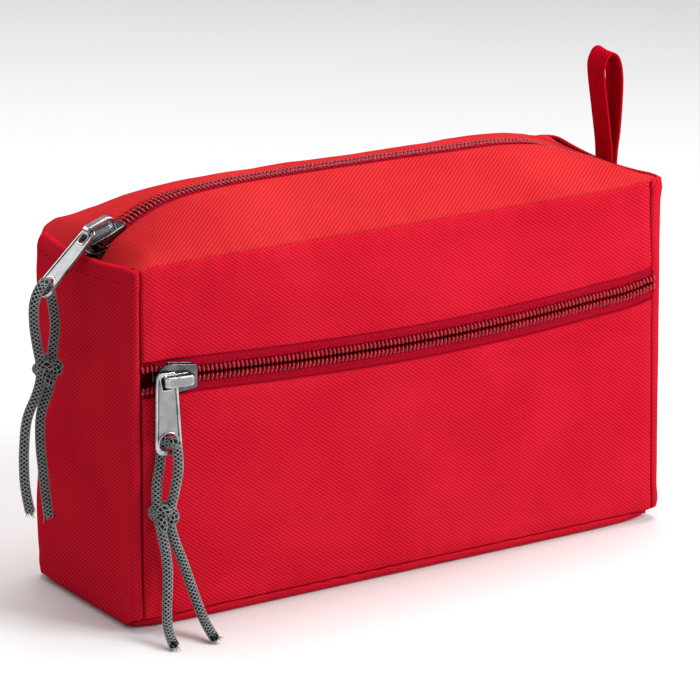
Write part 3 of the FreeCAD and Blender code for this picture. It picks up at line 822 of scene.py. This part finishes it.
for rear in (False, True):
    sideName = "rear" if rear else "front"
    # the top panels wear the lighter copy of the cloth, with its painted sheen
    panel = thicken(sheetGrid(f"top_{sideName}_cloth", 190, 36, topSheet(rear), "redClothTop", "red_cloth", flip=rear,
                              spread=edgeSpread()), pouch["thick"] * mm, "redLining")
    joinFlap(panel)
    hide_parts(f"top_{sideName}_panel", f"top_{sideName}_panel_ends")
print("cloth shell sewn")

# zips: coil teeth and stitches are repeated along lines by one node tree

repeatTree = {}


def alongTree():
    # teeth or stitches: one small bead, repeated along the piece's own lines and turned to face outward
    if "tree" in repeatTree:
        return repeatTree["tree"]
    tree = bpy.data.node_groups.new("beadsAlongLine", "GeometryNodeTree")
    face = tree.interface
    face.new_socket("Geometry", in_out="INPUT", socket_type="NodeSocketGeometry")
    for label, kind in (("Pitch", "NodeSocketFloat"), ("Bead Size", "NodeSocketVector"), ("Slant", "NodeSocketFloat"),
                        ("Finish", "NodeSocketMaterial")):
        face.new_socket(label, in_out="INPUT", socket_type=kind)
    face.new_socket("Geometry", in_out="OUTPUT", socket_type="NodeSocketGeometry")
    bench = Bench(tree)
    given = tree.nodes.new("NodeGroupInput")
    inputs = {socket.name: Wire(bench, socket) for socket in given.outputs}
    line = bench.make("GeometryNodeMeshToCurve", None, {"Mesh": inputs["Geometry"]})
    line = bench.make("GeometryNodeResampleCurve", {"mode": "LENGTH"}, {"Curve": line, "Length": inputs["Pitch"]})
    tangent = bench.make("GeometryNodeInputTangent")
    outward = bench.make("GeometryNodeInputNamedAttribute", {"data_type": "FLOAT_VECTOR"}, {"Name": "outward"})
    turn = bench.make("FunctionNodeAlignRotationToVector", {"axis": "X"}, {"Vector": tangent})
    turn = bench.make("FunctionNodeAlignRotationToVector", {"axis": "Z", "pivot_axis": "X"},
                      {"Rotation": turn, "Vector": outward})
    slant = bench.make("FunctionNodeAxisAngleToRotation", None, {"Axis": (0, 0, 1), "Angle": inputs["Slant"]})
    turn = bench.make("FunctionNodeRotateRotation", {"rotation_space": "LOCAL"}, {"Rotation": turn, "Rotate By": slant})
    bead = bench.make("GeometryNodeMeshUVSphere", None, {"Segments": 8, "Rings": 5, "Radius": 0.5})
    placed = bench.make("GeometryNodeInstanceOnPoints", None,
                        {"Points": line, "Instance": bead, "Rotation": turn, "Scale": inputs["Bead Size"]})
    real = bench.make("GeometryNodeRealizeInstances", None, {"Geometry": placed})
    real = bench.make("GeometryNodeSetShadeSmooth", None, {"Geometry": real})
    real = bench.make("GeometryNodeSetMaterial", None, {"Geometry": real, "Material": inputs["Finish"]})
    out = tree.nodes.new("NodeGroupOutput")
    tree.links.new(real.socket, out.inputs["Geometry"])
    repeatTree["tree"] = tree
    return tree


def beadsAlong(name, lines, finish, slot, pitch, size, slant=0.0):
    # lines are lists of (place, outward), in metres
    verts, edges, ways = [], [], []
    for line in lines:
        first = len(verts)
        verts += [tuple(place) for place, way in line]
        ways += [component for place, way in line for component in way]
        edges += [(first + k, first + k + 1) for k in range(len(line) - 1)]
    mesh = bpy.data.meshes.new(name)
    mesh.from_pydata(verts, edges, [])
    mesh.attributes.new("outward", "FLOAT_VECTOR", "POINT").data.foreach_set("vector", ways)
    piece = bpy.data.objects.new(name, mesh)
    scene.collection.objects.link(piece)
    modifier = piece.modifiers.new("beads", "NODES")
    modifier.node_group = alongTree()
    given = {"Pitch": pitch, "Bead Size": size, "Slant": math.radians(slant), "Finish": finishes[finish]}
    for item in modifier.node_group.interface.items_tree:
        if item.item_type == "SOCKET" and item.in_out == "INPUT" and item.name in given:
            modifier[item.identifier] = given[item.name]
    applyModifiers(piece)
    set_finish(piece, slot)
    return piece


zipLook = {"pitch": 1.75, "tooth": (1.3, 3.3, 2.2), "toothAt": 1.75, "stitchAt": 3.75, "stitch": (1.5, 0.5, 0.42),
           "stitchPitch": 1.75, "slant": 14.0, "tapeThick": 0.5, "hemAt": 1.3, "step": 1.5}


def topNormal(x):
    rise = (topZip["ridge"](x + 0.5) - topZip["ridge"](x - 0.5))
    return Vector((-rise, 0, 1)).normalized()


def topPoint(x, across, out=0.0):
    return (Vector((x, across, topZip["ridge"](x))) + topNormal(x) * out) * mm, topNormal(x)


def frontPoint(x, across, out=0.0):
    way = Vector((x / frontZip["radius"], -1, 0)).normalized()
    base = Vector((x, frontZipY(x), frontZip["height"] + frontZip["sag"](x) + across))
    return (base + way * out) * mm, way


zipForms = {"top": (topPoint, topZip["parkX"]), "front": (frontPoint, frontZip["parkX"])}


def opened(x, park, most):
    # past the slider's nose the two coils part
    return min(most, max(0.0, (park - 1.5 - x) * 0.42))


def zipLine(which, side, across, out, ends, parting=1.0):
    # a line beside the chain, as (place, outward) pairs
    point, park = zipForms[which]
    count = max(2, int((ends[1] - ends[0]) / zipLook["step"]))
    xs = [ends[0] + (ends[1] - ends[0]) * k / count for k in range(count + 1)]
    return [point(x, side * (across + parting * opened(x, park, 2.4)), out) for x in xs]


def coilOf(name, which, side, stretches):
    teeth = [zipLine(which, side, zipLook["toothAt"], 0.0, ends) for ends in stretches]
    size = tuple(c * mm for c in zipLook["tooth"])
    return beadsAlong(name, teeth, "redCoil", "red_coil", zipLook["pitch"] * mm, size, side * zipLook["slant"])


def tapeOf(name, which, side, stretches, outer):
    # the woven tape from under the coil to under the panel, with the coil's stitches on it
    point, park = zipForms[which]
    parts = []
    for ends in stretches:
        columns = max(4, int((ends[1] - ends[0]) / 1.6))

        def place(across, up, ends=ends):
            x = ends[0] + (ends[1] - ends[0]) * across
            near = zipLook["hemAt"] + opened(x, park, 2.4)
            return point(x, side * (near + (outer - near) * up), -0.75 - 0.5 * up * up)[0]
        strip = sheetGrid(name + "_strip", columns, 6, place, "redTape", "red_tape",
                          flip=(side > 0) == (which == "top"))
        parts.append(thicken(strip, zipLook["tapeThick"] * mm))
    seams = [zipLine(which, side, zipLook["stitchAt"], 0.35, ends) for ends in stretches]
    size = tuple(c * mm for c in zipLook["stitch"])
    parts.append(beadsAlong(name + "_stitches", seams, "redThread", "red_tape", zipLook["stitchPitch"] * mm, size))
    tape = joined(name, parts)
    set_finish(tape, "red_tape")
    return tape


frontEnds = (-116.6, 114.5)
for side, label in ((-1, "lower"), (1, "upper")):
    ridePiece(coilOf(f"front_{label}_teeth", "front", side, [frontEnds]), "bag", f"front_{label}_coil")
    ridePiece(tapeOf(f"front_{label}_woven_tape", "front", side, [frontEnds], 9.4), "bag", f"front_{label}_tape")

topStubs = [(-117.5, mouth["leftTo"]), (mouth["rightFrom"], 116.5)]
topMiddle = [(mouth["leftTo"], mouth["rightFrom"])]
for side, label in ((-1, "front"), (1, "rear")):
    for make, part, outer in ((coilOf, "coil", ()), (tapeOf, "tape", (7.4,))):
        middle = make(f"top_{label}_{part}_middle", "top", side, topMiddle, *outer)
        ridePiece(middle, f"top_{label}_flap", f"top_{label}_{part}")
        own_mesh(middle)
        stubs = make(f"top_{label}_{part}_stubs", "top", side, topStubs, *outer)
        joinFlap(stubs)
        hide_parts(f"top_{label}_{part}_ends")
print("zips woven")

# seam stitches: one row under the top edge of the left end


def hemStitches():
    # a row of stitches under the top edge of the left end
    out = Vector((-1, 0, 0))
    line = [(wrapSheet(0.03 + 0.15 * k / 60, 0.955) + out * 0.1 * mm, out) for k in range(61)]
    piece = beadsAlong("left_end_stitches", [line], "redThread", "red_cloth", 2.7 * mm, (1.9 * mm, 0.5 * mm, 0.4 * mm))
    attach(piece, "bag")


hemStitches()


# sliders and pull tabs: local X along the zip, Y across it, Z out of it, in millimetres

slider = {"nose": 5.6, "tail": 4.3, "length": 16.0, "plateIn": 1.7, "plateOut": 2.75, "flangeTip": 0.65,
          "capWidth": 4.0, "capNose": -6.6, "capTail": 5.5, "capTop": 7.5, "capUnder": 6.1, "post": 1.25, "bevel": 0.28}
tab = {"length": 30.0, "thick": 1.35, "faceThick": 0.75, "narrow": 4.4, "wide": 5.4, "rim": 0.95, "bar": 0.75,
       "eyeEnd": 5.6, "eyeHalf": 2.5, "eyeTip": 1.7, "holeFrom": 22.1, "holeTo": 28.3, "holeHalf": 3.7}


def rounded(corners, radii, steps=5):
    # an outline whose corners are arcs
    points, count = [], len(corners)
    for k, corner in enumerate(corners):
        here, before, after = (Vector(corners[(k + d) % count]) for d in (0, -1, 1))
        back, on = (before - here).normalized(), (after - here).normalized()
        half = math.acos(max(-1.0, min(1.0, back.dot(on)))) / 2
        radius = radii[k] if hasattr(radii, "__len__") else radii
        reach = radius / math.tan(half)
        centre = here + (back + on).normalized() * (radius / math.sin(half))
        start, end = here + back * reach - centre, here + on * reach - centre
        sweep = start.angle_signed(end)
        for s in range(steps + 1):
            turn = -sweep * s / steps
            points.append(centre + Vector((start.x * math.cos(turn) - start.y * math.sin(turn),
                                           start.x * math.sin(turn) + start.y * math.cos(turn))))
    return points


def plate(outlines, low, high, bevel):
    # a flat plate with soft edges; inner outlines are holes
    curve = bpy.data.curves.new("plate", "CURVE")
    curve.dimensions, curve.fill_mode = "2D", "BOTH"
    curve.extrude, curve.bevel_depth, curve.bevel_resolution = (high - low) / 2 - bevel, bevel, 2
    curve.offset = -bevel
    for outline in outlines:
        spline = curve.splines.new("POLY")
        spline.points.add(len(outline) - 1)
        for point, place in zip(spline.points, outline):
            point.co = (place[0], place[1], 0, 1)
        spline.use_cyclic_u = True
    holder = bpy.data.objects.new("plate", curve)
    scene.collection.objects.link(holder)
    holder.location = (0, 0, (low + high) / 2)
    bpy.context.view_layer.update()
    return holder


def settle(piece, place):
    # local millimetres to their place in metres, with doubles merged and faces outward
    mesh = piece.data
    mesh.transform(place @ Matrix.Scale(mm, 4))
    shape = bmesh.new()
    shape.from_mesh(mesh)
    bmesh.ops.remove_doubles(shape, verts=shape.verts, dist=0.004 * mm)
    bmesh.ops.recalc_face_normals(shape, faces=shape.faces)
    shape.to_mesh(mesh)
    shape.free()
    mesh.polygons.foreach_set("use_smooth", [True] * len(mesh.polygons))
    edges = piece.modifiers.new("crisp", "WEIGHTED_NORMAL")
    edges.keep_sharp = True
    mesh.set_sharp_from_angle(angle=math.radians(38))
    return applyModifiers(piece)


def sliderPlace(which, x):
    # the frame of a slider at this place along its zip
    if which == "top":
        turn = math.asin(x / topZip["radius"])
        along, out = Vector((math.cos(turn), 0, -math.sin(turn))), Vector((math.sin(turn), 0, math.cos(turn)))
        at = Vector((0, 0, topZip["centreZ"])) + out * topZip["radius"]
    else:
        turn = math.asin(x / frontZip["radius"])
        along, out = Vector((math.cos(turn), math.sin(turn), 0)), Vector((math.sin(turn), -math.cos(turn), 0))
        at = Vector((0, frontZip["centreY"], frontZip["height"])) + out * frontZip["radius"]
    across = out.cross(along)
    return Matrix.Translation(at * mm) @ Matrix((along, across, out)).transposed().to_4x4()


def addSlider(which, place):
    long, nose, tail = slider["length"] / 2, slider["nose"], slider["tail"]
    shoulder = -long + 7
    outline = rounded([(-long, -nose), (shoulder, -nose), (long, -tail), (long, tail), (shoulder, nose), (-long, nose)],
                      [4.4, 3.0, 1.0, 1.0, 3.0, 4.4])
    parts = [plate([outline], slider["plateIn"], slider["plateOut"], slider["bevel"]),
             plate([outline], -slider["plateOut"], -slider["plateIn"], slider["bevel"])]
    for side in (-1, 1):
        lip = [(-long + 5.2, side * nose), (long - 0.3, side * tail), (long - 0.3, side * (tail - 1.1)),
               (-long + 5.2, side * (nose - 1.1))]
        for low, high in ((slider["flangeTip"], 2.2), (-2.2, -slider["flangeTip"])):
            parts.append(plate([rounded(lip if side < 0 else lip[::-1], 0.3)], low, high, 0.2))
    wedge = rounded([(-long + 0.6, -1.6), (-long + 4.5, 0), (-long + 0.6, 1.6)], [0.5, 0.3, 0.5])
    parts.append(plate([wedge], -2.2, 2.2, 0.15))
    # the body's darker nickel is painted shade beneath the cap
    body = settle(joined(f"{which}_slider_body", parts, "nickelPaintedShade"), place)
    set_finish(body, "nickel")
    ridePiece(body, f"{which}_slider", f"{which}_slider_shell")
    # the bridge is an arch cut from a thick strip: its outline lies in XZ
    left, right, top, foot = slider["capNose"], slider["capTail"], slider["capTop"], slider["plateOut"] - 0.3
    arch = rounded([(left, foot), (left, top), (right, top), (right, foot)], [0.2, 2.1, 2.1, 0.2])
    post, under = slider["post"], slider["capUnder"]
    window = rounded([(left + post, foot + 0.5), (right - post, foot + 0.5), (right - post, under),
                      (left + post, under)], [0.3, 0.3, 1.1, 1.1])
    half = slider["capWidth"] / 2
    cap = settle(joined(f"{which}_slider_cap", [plate([arch, window], -half, half, 0.5)], "brightNickel"),
                 place @ Matrix.Rotation(math.pi / 2, 4, "X"))
    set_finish(cap, "nickel")
    ridePiece(cap, f"{which}_slider", f"{which}_slider_bridge")
    shield = rounded([(left + 1.5, -half + 0.55), (right - 1.5, -half + 0.55), (right - 1.5, half - 0.55),
                      (left + 1.5, half - 0.55)], 1.35)
    shieldPlate = plate([shield], top - 0.2, top + 0.12, 0.08)
    face = settle(joined(f"{which}_slider_cap_face", [shieldPlate], "satinNickel"), place)
    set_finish(face, "nickel")
    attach(face, f"{which}_slider")


def tabOutline(inset):
    narrow, wide, long = tab["narrow"] - inset, tab["wide"] - inset, tab["length"] - inset
    return rounded([(-tab["bar"] + inset, -narrow + 0.5), (4.0, -narrow), (long, -wide), (long, wide), (4.0, narrow),
                    (-tab["bar"] + inset, narrow - 0.5)], [1.6, 6.0, 3.2, 3.2, 6.0, 1.6], 7)


def holeOutline(grown):
    half = tab["holeHalf"] + grown
    centre = tab["holeFrom"] + tab["holeHalf"]
    bow = [Vector((centre - half * math.sin(t), half * math.cos(t)))
           for t in [math.pi * k / 16 for k in range(17)]]
    end = tab["holeTo"] + grown
    return bow + [
        Vector((end - 1.6, -half)), Vector((end - 0.5, -half + 0.5)), Vector((end, -half + 1.6)),
        Vector((end, half - 1.6)), Vector((end - 0.5, half - 0.5)), Vector((end - 1.6, half))]


def eyeOutline(grown):
    near, far = tab["bar"] - grown, tab["eyeEnd"] + grown
    half, tip = tab["eyeHalf"] + grown, tab["eyeTip"] + grown * 0.6
    return rounded([(near, -half), (far, -tip), (far, tip), (near, half)],
                   [0.8, 0.6, 0.6, 0.8], 4)


def addTab(which, place):
    half, thin = tab["thick"] / 2, tab["faceThick"] / 2
    rims = [plate([tabOutline(0.0), tabOutline(tab["rim"])], -half, half, 0.3),
            plate([holeOutline(0.75), holeOutline(0.0)], -half, half, 0.25),
            plate([eyeOutline(0.7), eyeOutline(0.0)], -half * 0.96, half * 0.96, 0.22)]
    rim = settle(joined(f"{which}_tab_rim", rims, "brightNickel"), place)
    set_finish(rim, "nickel")
    ridePiece(rim, f"{which}_pull", f"{which}_pull_tab")
    # the groove's darker nickel is painted shade in the channel between rim and face
    for label, finish, inset, deep in (("groove", "nickelPaintedShade", 0.5, thin * 0.6), ("face", "satinNickel", 1.45, thin)):
        sheet = plate([tabOutline(inset), holeOutline(inset * 0.62), eyeOutline(inset * 0.5)], -deep, deep, 0.05)
        face = settle(joined(f"{which}_tab_{label}", [sheet], finish), place)
        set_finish(face, "nickel")
        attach(face, f"{which}_pull")


tabPlaces = {"top": Matrix.Translation(Vector((-4.3, 0, 5.0)) * mm) @ Matrix.Rotation(math.pi, 4, "Z")
             @ Matrix.Rotation(math.radians(24), 4, "Y"),
             "front": Matrix.Translation(Vector((-5.3, 2.575, 4.4)) * mm) @ Matrix.Rotation(-math.pi / 2, 4, "Z")
             @ Matrix.Rotation(math.radians(-3), 4, "Y")}
for which, park in (("top", topZip["parkX"]), ("front", frontZip["parkX"])):
    place = sliderPlace(which, park)
    addSlider(which, place)
    addTab(which, place @ tabPlaces[which])
print("sliders plated")

# hang loop of ribbon, turned a little on its feet

ribbon = {"width": 15.0, "thick": 1.0, "footX": 119.5, "turn": 12.0,
          "route": [(-1.0, 139.5), (-1.6, 147.0), (-2.9, 156.0), (-4.4, 166.0), (-5.6, 174.5), (-5.7, 179.5),
                    (-3.9, 183.8), (-1.2, 184.6), (1.0, 181.6), (2.2, 175.0), (2.2, 165.0), (1.7, 154.0),
                    (0.9, 146.0), (0.6, 139.5)]}


def addHangLoop():
    curve = through([(k, p[0]) for k, p in enumerate(ribbon["route"])])
    rise = through([(k, p[1]) for k, p in enumerate(ribbon["route"])])
    spin = math.radians(ribbon["turn"])
    breadth, width = Vector((math.cos(spin), -math.sin(spin), 0)), Vector((math.sin(spin), math.cos(spin), 0))
    last = len(ribbon["route"]) - 1

    def place(across, up):
        at = across * last
        dish = 0.35 * math.cos(math.pi * (up - 0.5) * 2)
        centre = Vector((ribbon["footX"], 0, rise(at))) + breadth * (curve(at) - dish * math.sin(math.pi * across))
        return (centre + width * (ribbon["width"] * (up - 0.5))) * mm
    loop = sheetGrid("hang_loop_webbing", 150, 14, place, "redRibbon", "red_ribbon", flip=True)
    wall = loop.modifiers.new("thickness", "SOLIDIFY")
    wall.thickness, wall.offset = ribbon["thick"] * mm, 0.0
    applyModifiers(loop)
    ridePiece(loop, "hang_loop", "hang_loop_ribbon")


addHangLoop()
print("hang loop folded")

# what the pouch holds, and its inner walls, all inside their own CAD boxes

packing = {"crimp": 0.10, "crimpThick": 0.5, "ridges": 46, "columns": 60, "rows": 40, "rollPitch": 1.7,
           "rollSteps": 96, "wrinkle": 0.45}


def paperRecipe(deep, bright, rough, depth, scale=500.0):
    # plain paper, film or card with faint mottling
    def recipe(bench):
        where = bench.place()
        fine, slow = bench.speckle(where, scale, 3.0), bench.speckle(where, 60.0, 2.0)
        tone = (fine * 0.5 + slow * 0.5).step(0.25, 0.75)
        return {"Base Color": bench.mix(tone, deep, bright), "Roughness": rough + 0.18 * (fine - 0.5),
                "height": fine * 0.6 + slow, "deep": depth}
    return recipe


def gauzeRecipe(bench):
    # open cotton weave on all three axes
    x, y, z = bench.split(bench.place())
    turns = 2 * math.pi / (1.1 * mm)
    weave = ((x * turns).sine() + (y * turns).sine() + (z * turns).sine()) * 0.17 + 0.5
    grain = bench.speckle(bench.place(), 1300.0, 3.0)
    tone = (weave * 0.5 + grain * 0.5).step(0.2, 0.8)
    return {"Base Color": bench.mix(tone, linear(212, 208, 198), linear(246, 244, 238)),
            "Roughness": 0.8 + 0.15 * grain, "height": weave + grain * 0.5, "deep": 0.12 * mm}


def netRecipe(bench):
    # knitted net: the holes between its threads are clear
    across, up, _ = bench.split(bench.place("UV"))
    turns = 100 * math.pi / 2.4
    thread = ((across + up) * turns).sine().size().maths("MINIMUM", ((across + up) * turns).sine().size(),
                                                         ((across - up) * turns).sine().size())
    solid = 1.0 - thread.step(0.34, 0.46)
    grain = bench.speckle(bench.place(), 1500.0)
    return {"Base Color": bench.mix(grain, linear(120, 8, 20), linear(178, 22, 36)), "Alpha": solid,
            "Roughness": 0.55 + 0.2 * grain, "height": solid, "deep": 0.1 * mm}


newFinish("cottonGauze", gauzeRecipe, Sheen_Weight=0.3)
newFinish("adhesiveCloth", paperRecipe(linear(222, 200, 168), linear(238, 220, 192), 0.62, 0.04 * mm, 1200.0))
newFinish("brownCard", paperRecipe(linear(150, 118, 84), linear(176, 142, 104), 0.8, 0.04 * mm, 900.0))
newFinish("whiteCard", paperRecipe(linear(222, 222, 218), linear(240, 240, 236), 0.5, 0.02 * mm))
newFinish("packPaper", paperRecipe(linear(214, 218, 220), linear(240, 242, 242), 0.55, 0.06 * mm))
newFinish("sachetFoil", paperRecipe(linear(196, 206, 214), linear(228, 234, 238), 0.34, 0.08 * mm), Metallic=0.35)
newFinish("bandageCotton", paperRecipe(linear(220, 214, 200), linear(242, 238, 228), 0.85, 0.15 * mm, 1100.0))
newFinish("clearFilm", paperRecipe(linear(186, 204, 216), linear(214, 226, 234), 0.25, 0.10 * mm, 120.0),
          Coat_Weight=0.5)
newFinish("blanketFilm", paperRecipe(linear(190, 160, 88), linear(226, 200, 130), 0.28, 0.12 * mm, 160.0),
          Metallic=0.8)
newFinish("pocketNet", netRecipe)
newFinish("redElastic", wovenRecipe(linear(130, 6, 18), linear(190, 22, 36), 1.0, 0.12 * mm), Sheen_Weight=0.2)


def inBox(node):
    low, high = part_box(node)
    return (Vector(low) + Vector(high)) / 2, (Vector(high) - Vector(low)) / 2


def pillow(name, centre, half, finish, slot, seed, crimped=True, fullness=0.35):
    # a filled flat pack: fuller in the middle, pinched flat at both ends where it is sealed
    columns, rows = packing["columns"], packing["rows"]
    seal = packing["crimp"] if crimped else 0.0
    verts, uv = [], []
    for side in (1, -1):
        for j in range(rows + 1):
            for i in range(columns + 1):
                u, v = 2 * i / columns - 1, 2 * j / rows - 1
                inner = min(1.0, abs(u) / (1 - seal)) if seal else abs(u)
                full = max(0.0, (1 - inner**4) * (1 - v**4)) ** fullness
                flat = packing["crimpThick"] * mm / half.z / 2
                high = flat + (1 - flat) * full
                inside = full ** 0.5
                slow = ripple(u * 40, v * 40, side * 3, 17, seed) * packing["wrinkle"] * mm / half.z * inside
                ridge = 0.12 * mm / half.z * math.sin(u * packing["ridges"] * math.pi) if inner >= 1.0 else 0.0
                z = min(1.0, max(0.0, high - max(0.0, slow) * 0.9 + ridge))
                tuck = 1 - 0.015 * (1 - full) * (1 + math.sin(v * 9 + seed))
                verts.append(centre + Vector((u * half.x * (1 - 0.01 * full), v * half.y * tuck, side * z * half.z)))
                uv.append((u * half.x / 0.1, v * half.y / 0.1))
    faces, wide = [], columns + 1
    count = wide * (rows + 1)
    for j in range(rows):
        for i in range(columns):
            a = j * wide + i
            faces.append((a, a + 1, a + wide + 1, a + wide))
            faces.append((count + a + wide, count + a + wide + 1, count + a + 1, count + a))
    rim = ([i for i in range(columns)] + [columns + j * wide for j in range(rows)]
           + [rows * wide + i for i in range(columns, 0, -1)] + [j * wide for j in range(rows, 0, -1)])
    for k, a in enumerate(rim):
        b = rim[(k + 1) % len(rim)]
        faces.append((b, a, count + a, count + b))
    return newPiece(name, verts, faces, finish, slot, uv)


def stacked(node, count, gap, finish, slot, seed, **shape):
    # equal packs lying on one another make up one node
    centre, half = inBox(node)
    each = (2 * half.z - gap * (count - 1)) / count
    parts = []
    for k in range(count):
        at = Vector((centre.x, centre.y, centre.z - half.z + each / 2 + k * (each + gap)))
        parts.append(pillow(f"{node}_{k}", at, Vector((half.x, half.y, each / 2)), finish, slot, seed + k, **shape))
    piece = joined(f"{node}_packs", parts) if count > 1 else parts[0]
    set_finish(piece, slot)
    ridePiece(piece, "bag", node)
    return piece


def woundRoll(node, axis, inner, finish, slot, seed, loose):
    # a strip wound up: the turns show as a spiral on both ends
    centre, half = inBox(node)
    order = {"x": (0, 1, 2), "z": (2, 0, 1)}[axis]
    long, radius = half[order[0]], half[order[1]]
    steps, hollow = packing["rollSteps"], inner * mm
    turnsOut = [hollow + (radius - hollow) * k / 44 for k in range(45)]
    profile = [(-1, r) for r in turnsOut] + [(s, radius) for s in np.linspace(-0.92, 0.92, 14)] \
        + [(1, r) for r in reversed(turnsOut)]
    if inner > 0.5:
        profile += [(s, hollow) for s in (0.5, 0.0, -0.5)]
    verts = []
    for end, r in profile:
        for k in range(steps):
            turn = 2 * math.pi * k / steps
            wind = math.sin(2 * math.pi * r / (packing["rollPitch"] * mm) - turn)
            inset = (0.35 * mm * (1 + wind)) if abs(end) == 1 else 0.0
            soft = loose * (1 + ripple(math.cos(turn) * 20, math.sin(turn) * 20, end * 30, 13, seed)) * 0.5 * mm
            shown = r - soft if r > radius * 0.97 else min(r, radius - soft)
            place = [0, 0, 0]
            place[order[0]] = end * (long - inset if abs(end) == 1 else long)
            place[order[1]], place[order[2]] = math.cos(turn) * shown, math.sin(turn) * shown
            verts.append(centre + Vector(place))
    rings, faces = len(profile), []
    closed = rings if inner > 0.5 else rings - 1
    for ring in range(closed):
        low, high = ring * steps, ((ring + 1) % rings) * steps
        for k in range(steps):
            faces.append((low + k, low + (k + 1) % steps, high + (k + 1) % steps, high + k))
    piece = newPiece(f"{node}_wound", verts, faces, finish, slot)
    shape = bmesh.new()
    shape.from_mesh(piece.data)
    bmesh.ops.remove_doubles(shape, verts=shape.verts, dist=0.004 * mm)
    bmesh.ops.recalc_face_normals(shape, faces=shape.faces)
    shape.to_mesh(piece.data)
    shape.free()
    ridePiece(piece, "bag", node)
    return piece


def cardBox(node, finish, slot):
    # a folded carton: soft edges and a tuck flap's line at the top
    centre, half = inBox(node)
    lid = 0.16
    parts = []
    for low, high, shrink in ((-1, 1 - lid, 0.0), (1 - lid + 0.01, 1, 0.25 * mm)):
        size = Vector((half.x - shrink, half.y - shrink, half.z * (high - low) / 2))
        at = centre + Vector((0, 0, half.z * (high + low) / 2))
        corners = [at + Vector((a * size.x, b * size.y, c * size.z)) for a in (-1, 1) for b in (-1, 1) for c in (-1, 1)]
        piece = newPiece(f"{node}_part", corners, [(0, 1, 3, 2), (4, 6, 7, 5), (0, 4, 5, 1), (2, 3, 7, 6),
                                                   (0, 2, 6, 4), (1, 5, 7, 3)], finish, slot)
        edge = piece.modifiers.new("edge", "BEVEL")
        edge.width, edge.segments = 0.5 * mm, 3
        parts.append(piece)
    carton = joined(f"{node}_carton", parts)
    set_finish(carton, slot)
    ridePiece(carton, "bag", node)


woundRoll("gauze_roll_large", "x", 0.3, "cottonGauze", "gauze", 2.1, 0.7)
woundRoll("gauze_roll_small", "x", 0.3, "cottonGauze", "gauze", 5.7, 0.6)
woundRoll("adhesive_tape_roll", "z", 13.0, "adhesiveCloth", "tape_cloth", 1.4, 0.05)
woundRoll("tape_roll_core", "z", 11.0, "brownCard", "roll_card", 3.3, 0.0)
cardBox("plaster_box", "whiteCard", "box_card")
dressings = stacked("sterile_dressings", 3, 0.3 * mm, "packPaper", "pack_paper", 4.2)
stacked("wipe_sachets", 4, 0.3 * mm, "sachetFoil", "sachet_foil", 9.1)
bandage = stacked("triangular_bandage", 1, 0.0, "bandageCotton", "bandage_cotton", 12.5, crimped=False, fullness=0.22)
gloves = stacked("glove_pack", 1, 0.0, "clearFilm", "clear_film", 15.8)
blanket = stacked("rescue_blanket", 1, 0.0, "blanketFilm", "blanket_film", 18.9, crimped=False, fullness=0.25)
print("contents packed")


def wallSheet(node, columns, rows, finish, slot, wave, tall, thick, rear):
    # a cloth standing in its node's plane, waved within the node's thickness
    centre, half = inBox(node)
    room = half.y - thick * mm / 2

    def place(across, up):
        x, z = centre.x + half.x * (2 * across - 1), centre.z + half.z * (2 * up - 1)
        slow = ripple(x / mm, 0, z / mm, wave, tall)
        held = ease(min(across, 1 - across, up, 1 - up), 0, 0.08)
        return Vector((x, centre.y + max(-1.0, min(1.0, slow * 1.6 * held)) * room, z))
    cloth = sheetGrid(f"{node}_cloth", columns, rows, place, finish, slot, flip=rear)
    wall = cloth.modifiers.new("thickness", "SOLIDIFY")
    wall.thickness, wall.offset = thick * mm, 0.0
    applyModifiers(cloth)
    ridePiece(cloth, "bag", node)
    return cloth


wallSheet("pocket_inner_wall", 150, 80, "redLining", "red_lining", 34, 2.7, 0.8, False)
wallSheet("inner_pocket", 150, 50, "pocketNet", "pocket_mesh", 26, 7.9, 0.25, False)
centre, half = inBox("inner_pocket_elastic")


def elasticPlace(across, up):
    # gathered into small ruffles along its length
    x, z = centre.x + half.x * (2 * across - 1), centre.z + half.z * (2 * up - 1)
    ruffle = math.sin(across * 2 * math.pi * 52) * 0.3 * math.sin(math.pi * up)
    return Vector((x, centre.y + ruffle * mm, z))


band = sheetGrid("inner_pocket_elastic_band", 520, 10, elasticPlace, "redElastic", "elastic", flip=False)
wall = band.modifiers.new("thickness", "SOLIDIFY")
wall.thickness, wall.offset = 0.8 * mm, 0.0
applyModifiers(band)
ridePiece(band, "bag", "inner_pocket_elastic")
print("inner walls hung")

# floor and finish

def addFloor():
    size = 3.0
    floor = newPiece("studioFloor", [(-size, -size, 0), (size, -size, 0), (size, size, 0), (-size, size, 0)],
                     [(0, 1, 2, 3)], "paleFloor", "red_cloth")
    del floor["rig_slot"]


newFinish("paleFloor", lambda bench: {"Base Color": bench.mix(bench.speckle(bench.place(), 3.0), (0.80, 0.80, 0.80),
                                                              (0.84, 0.84, 0.84))}, Roughness=0.8)
addFloor()
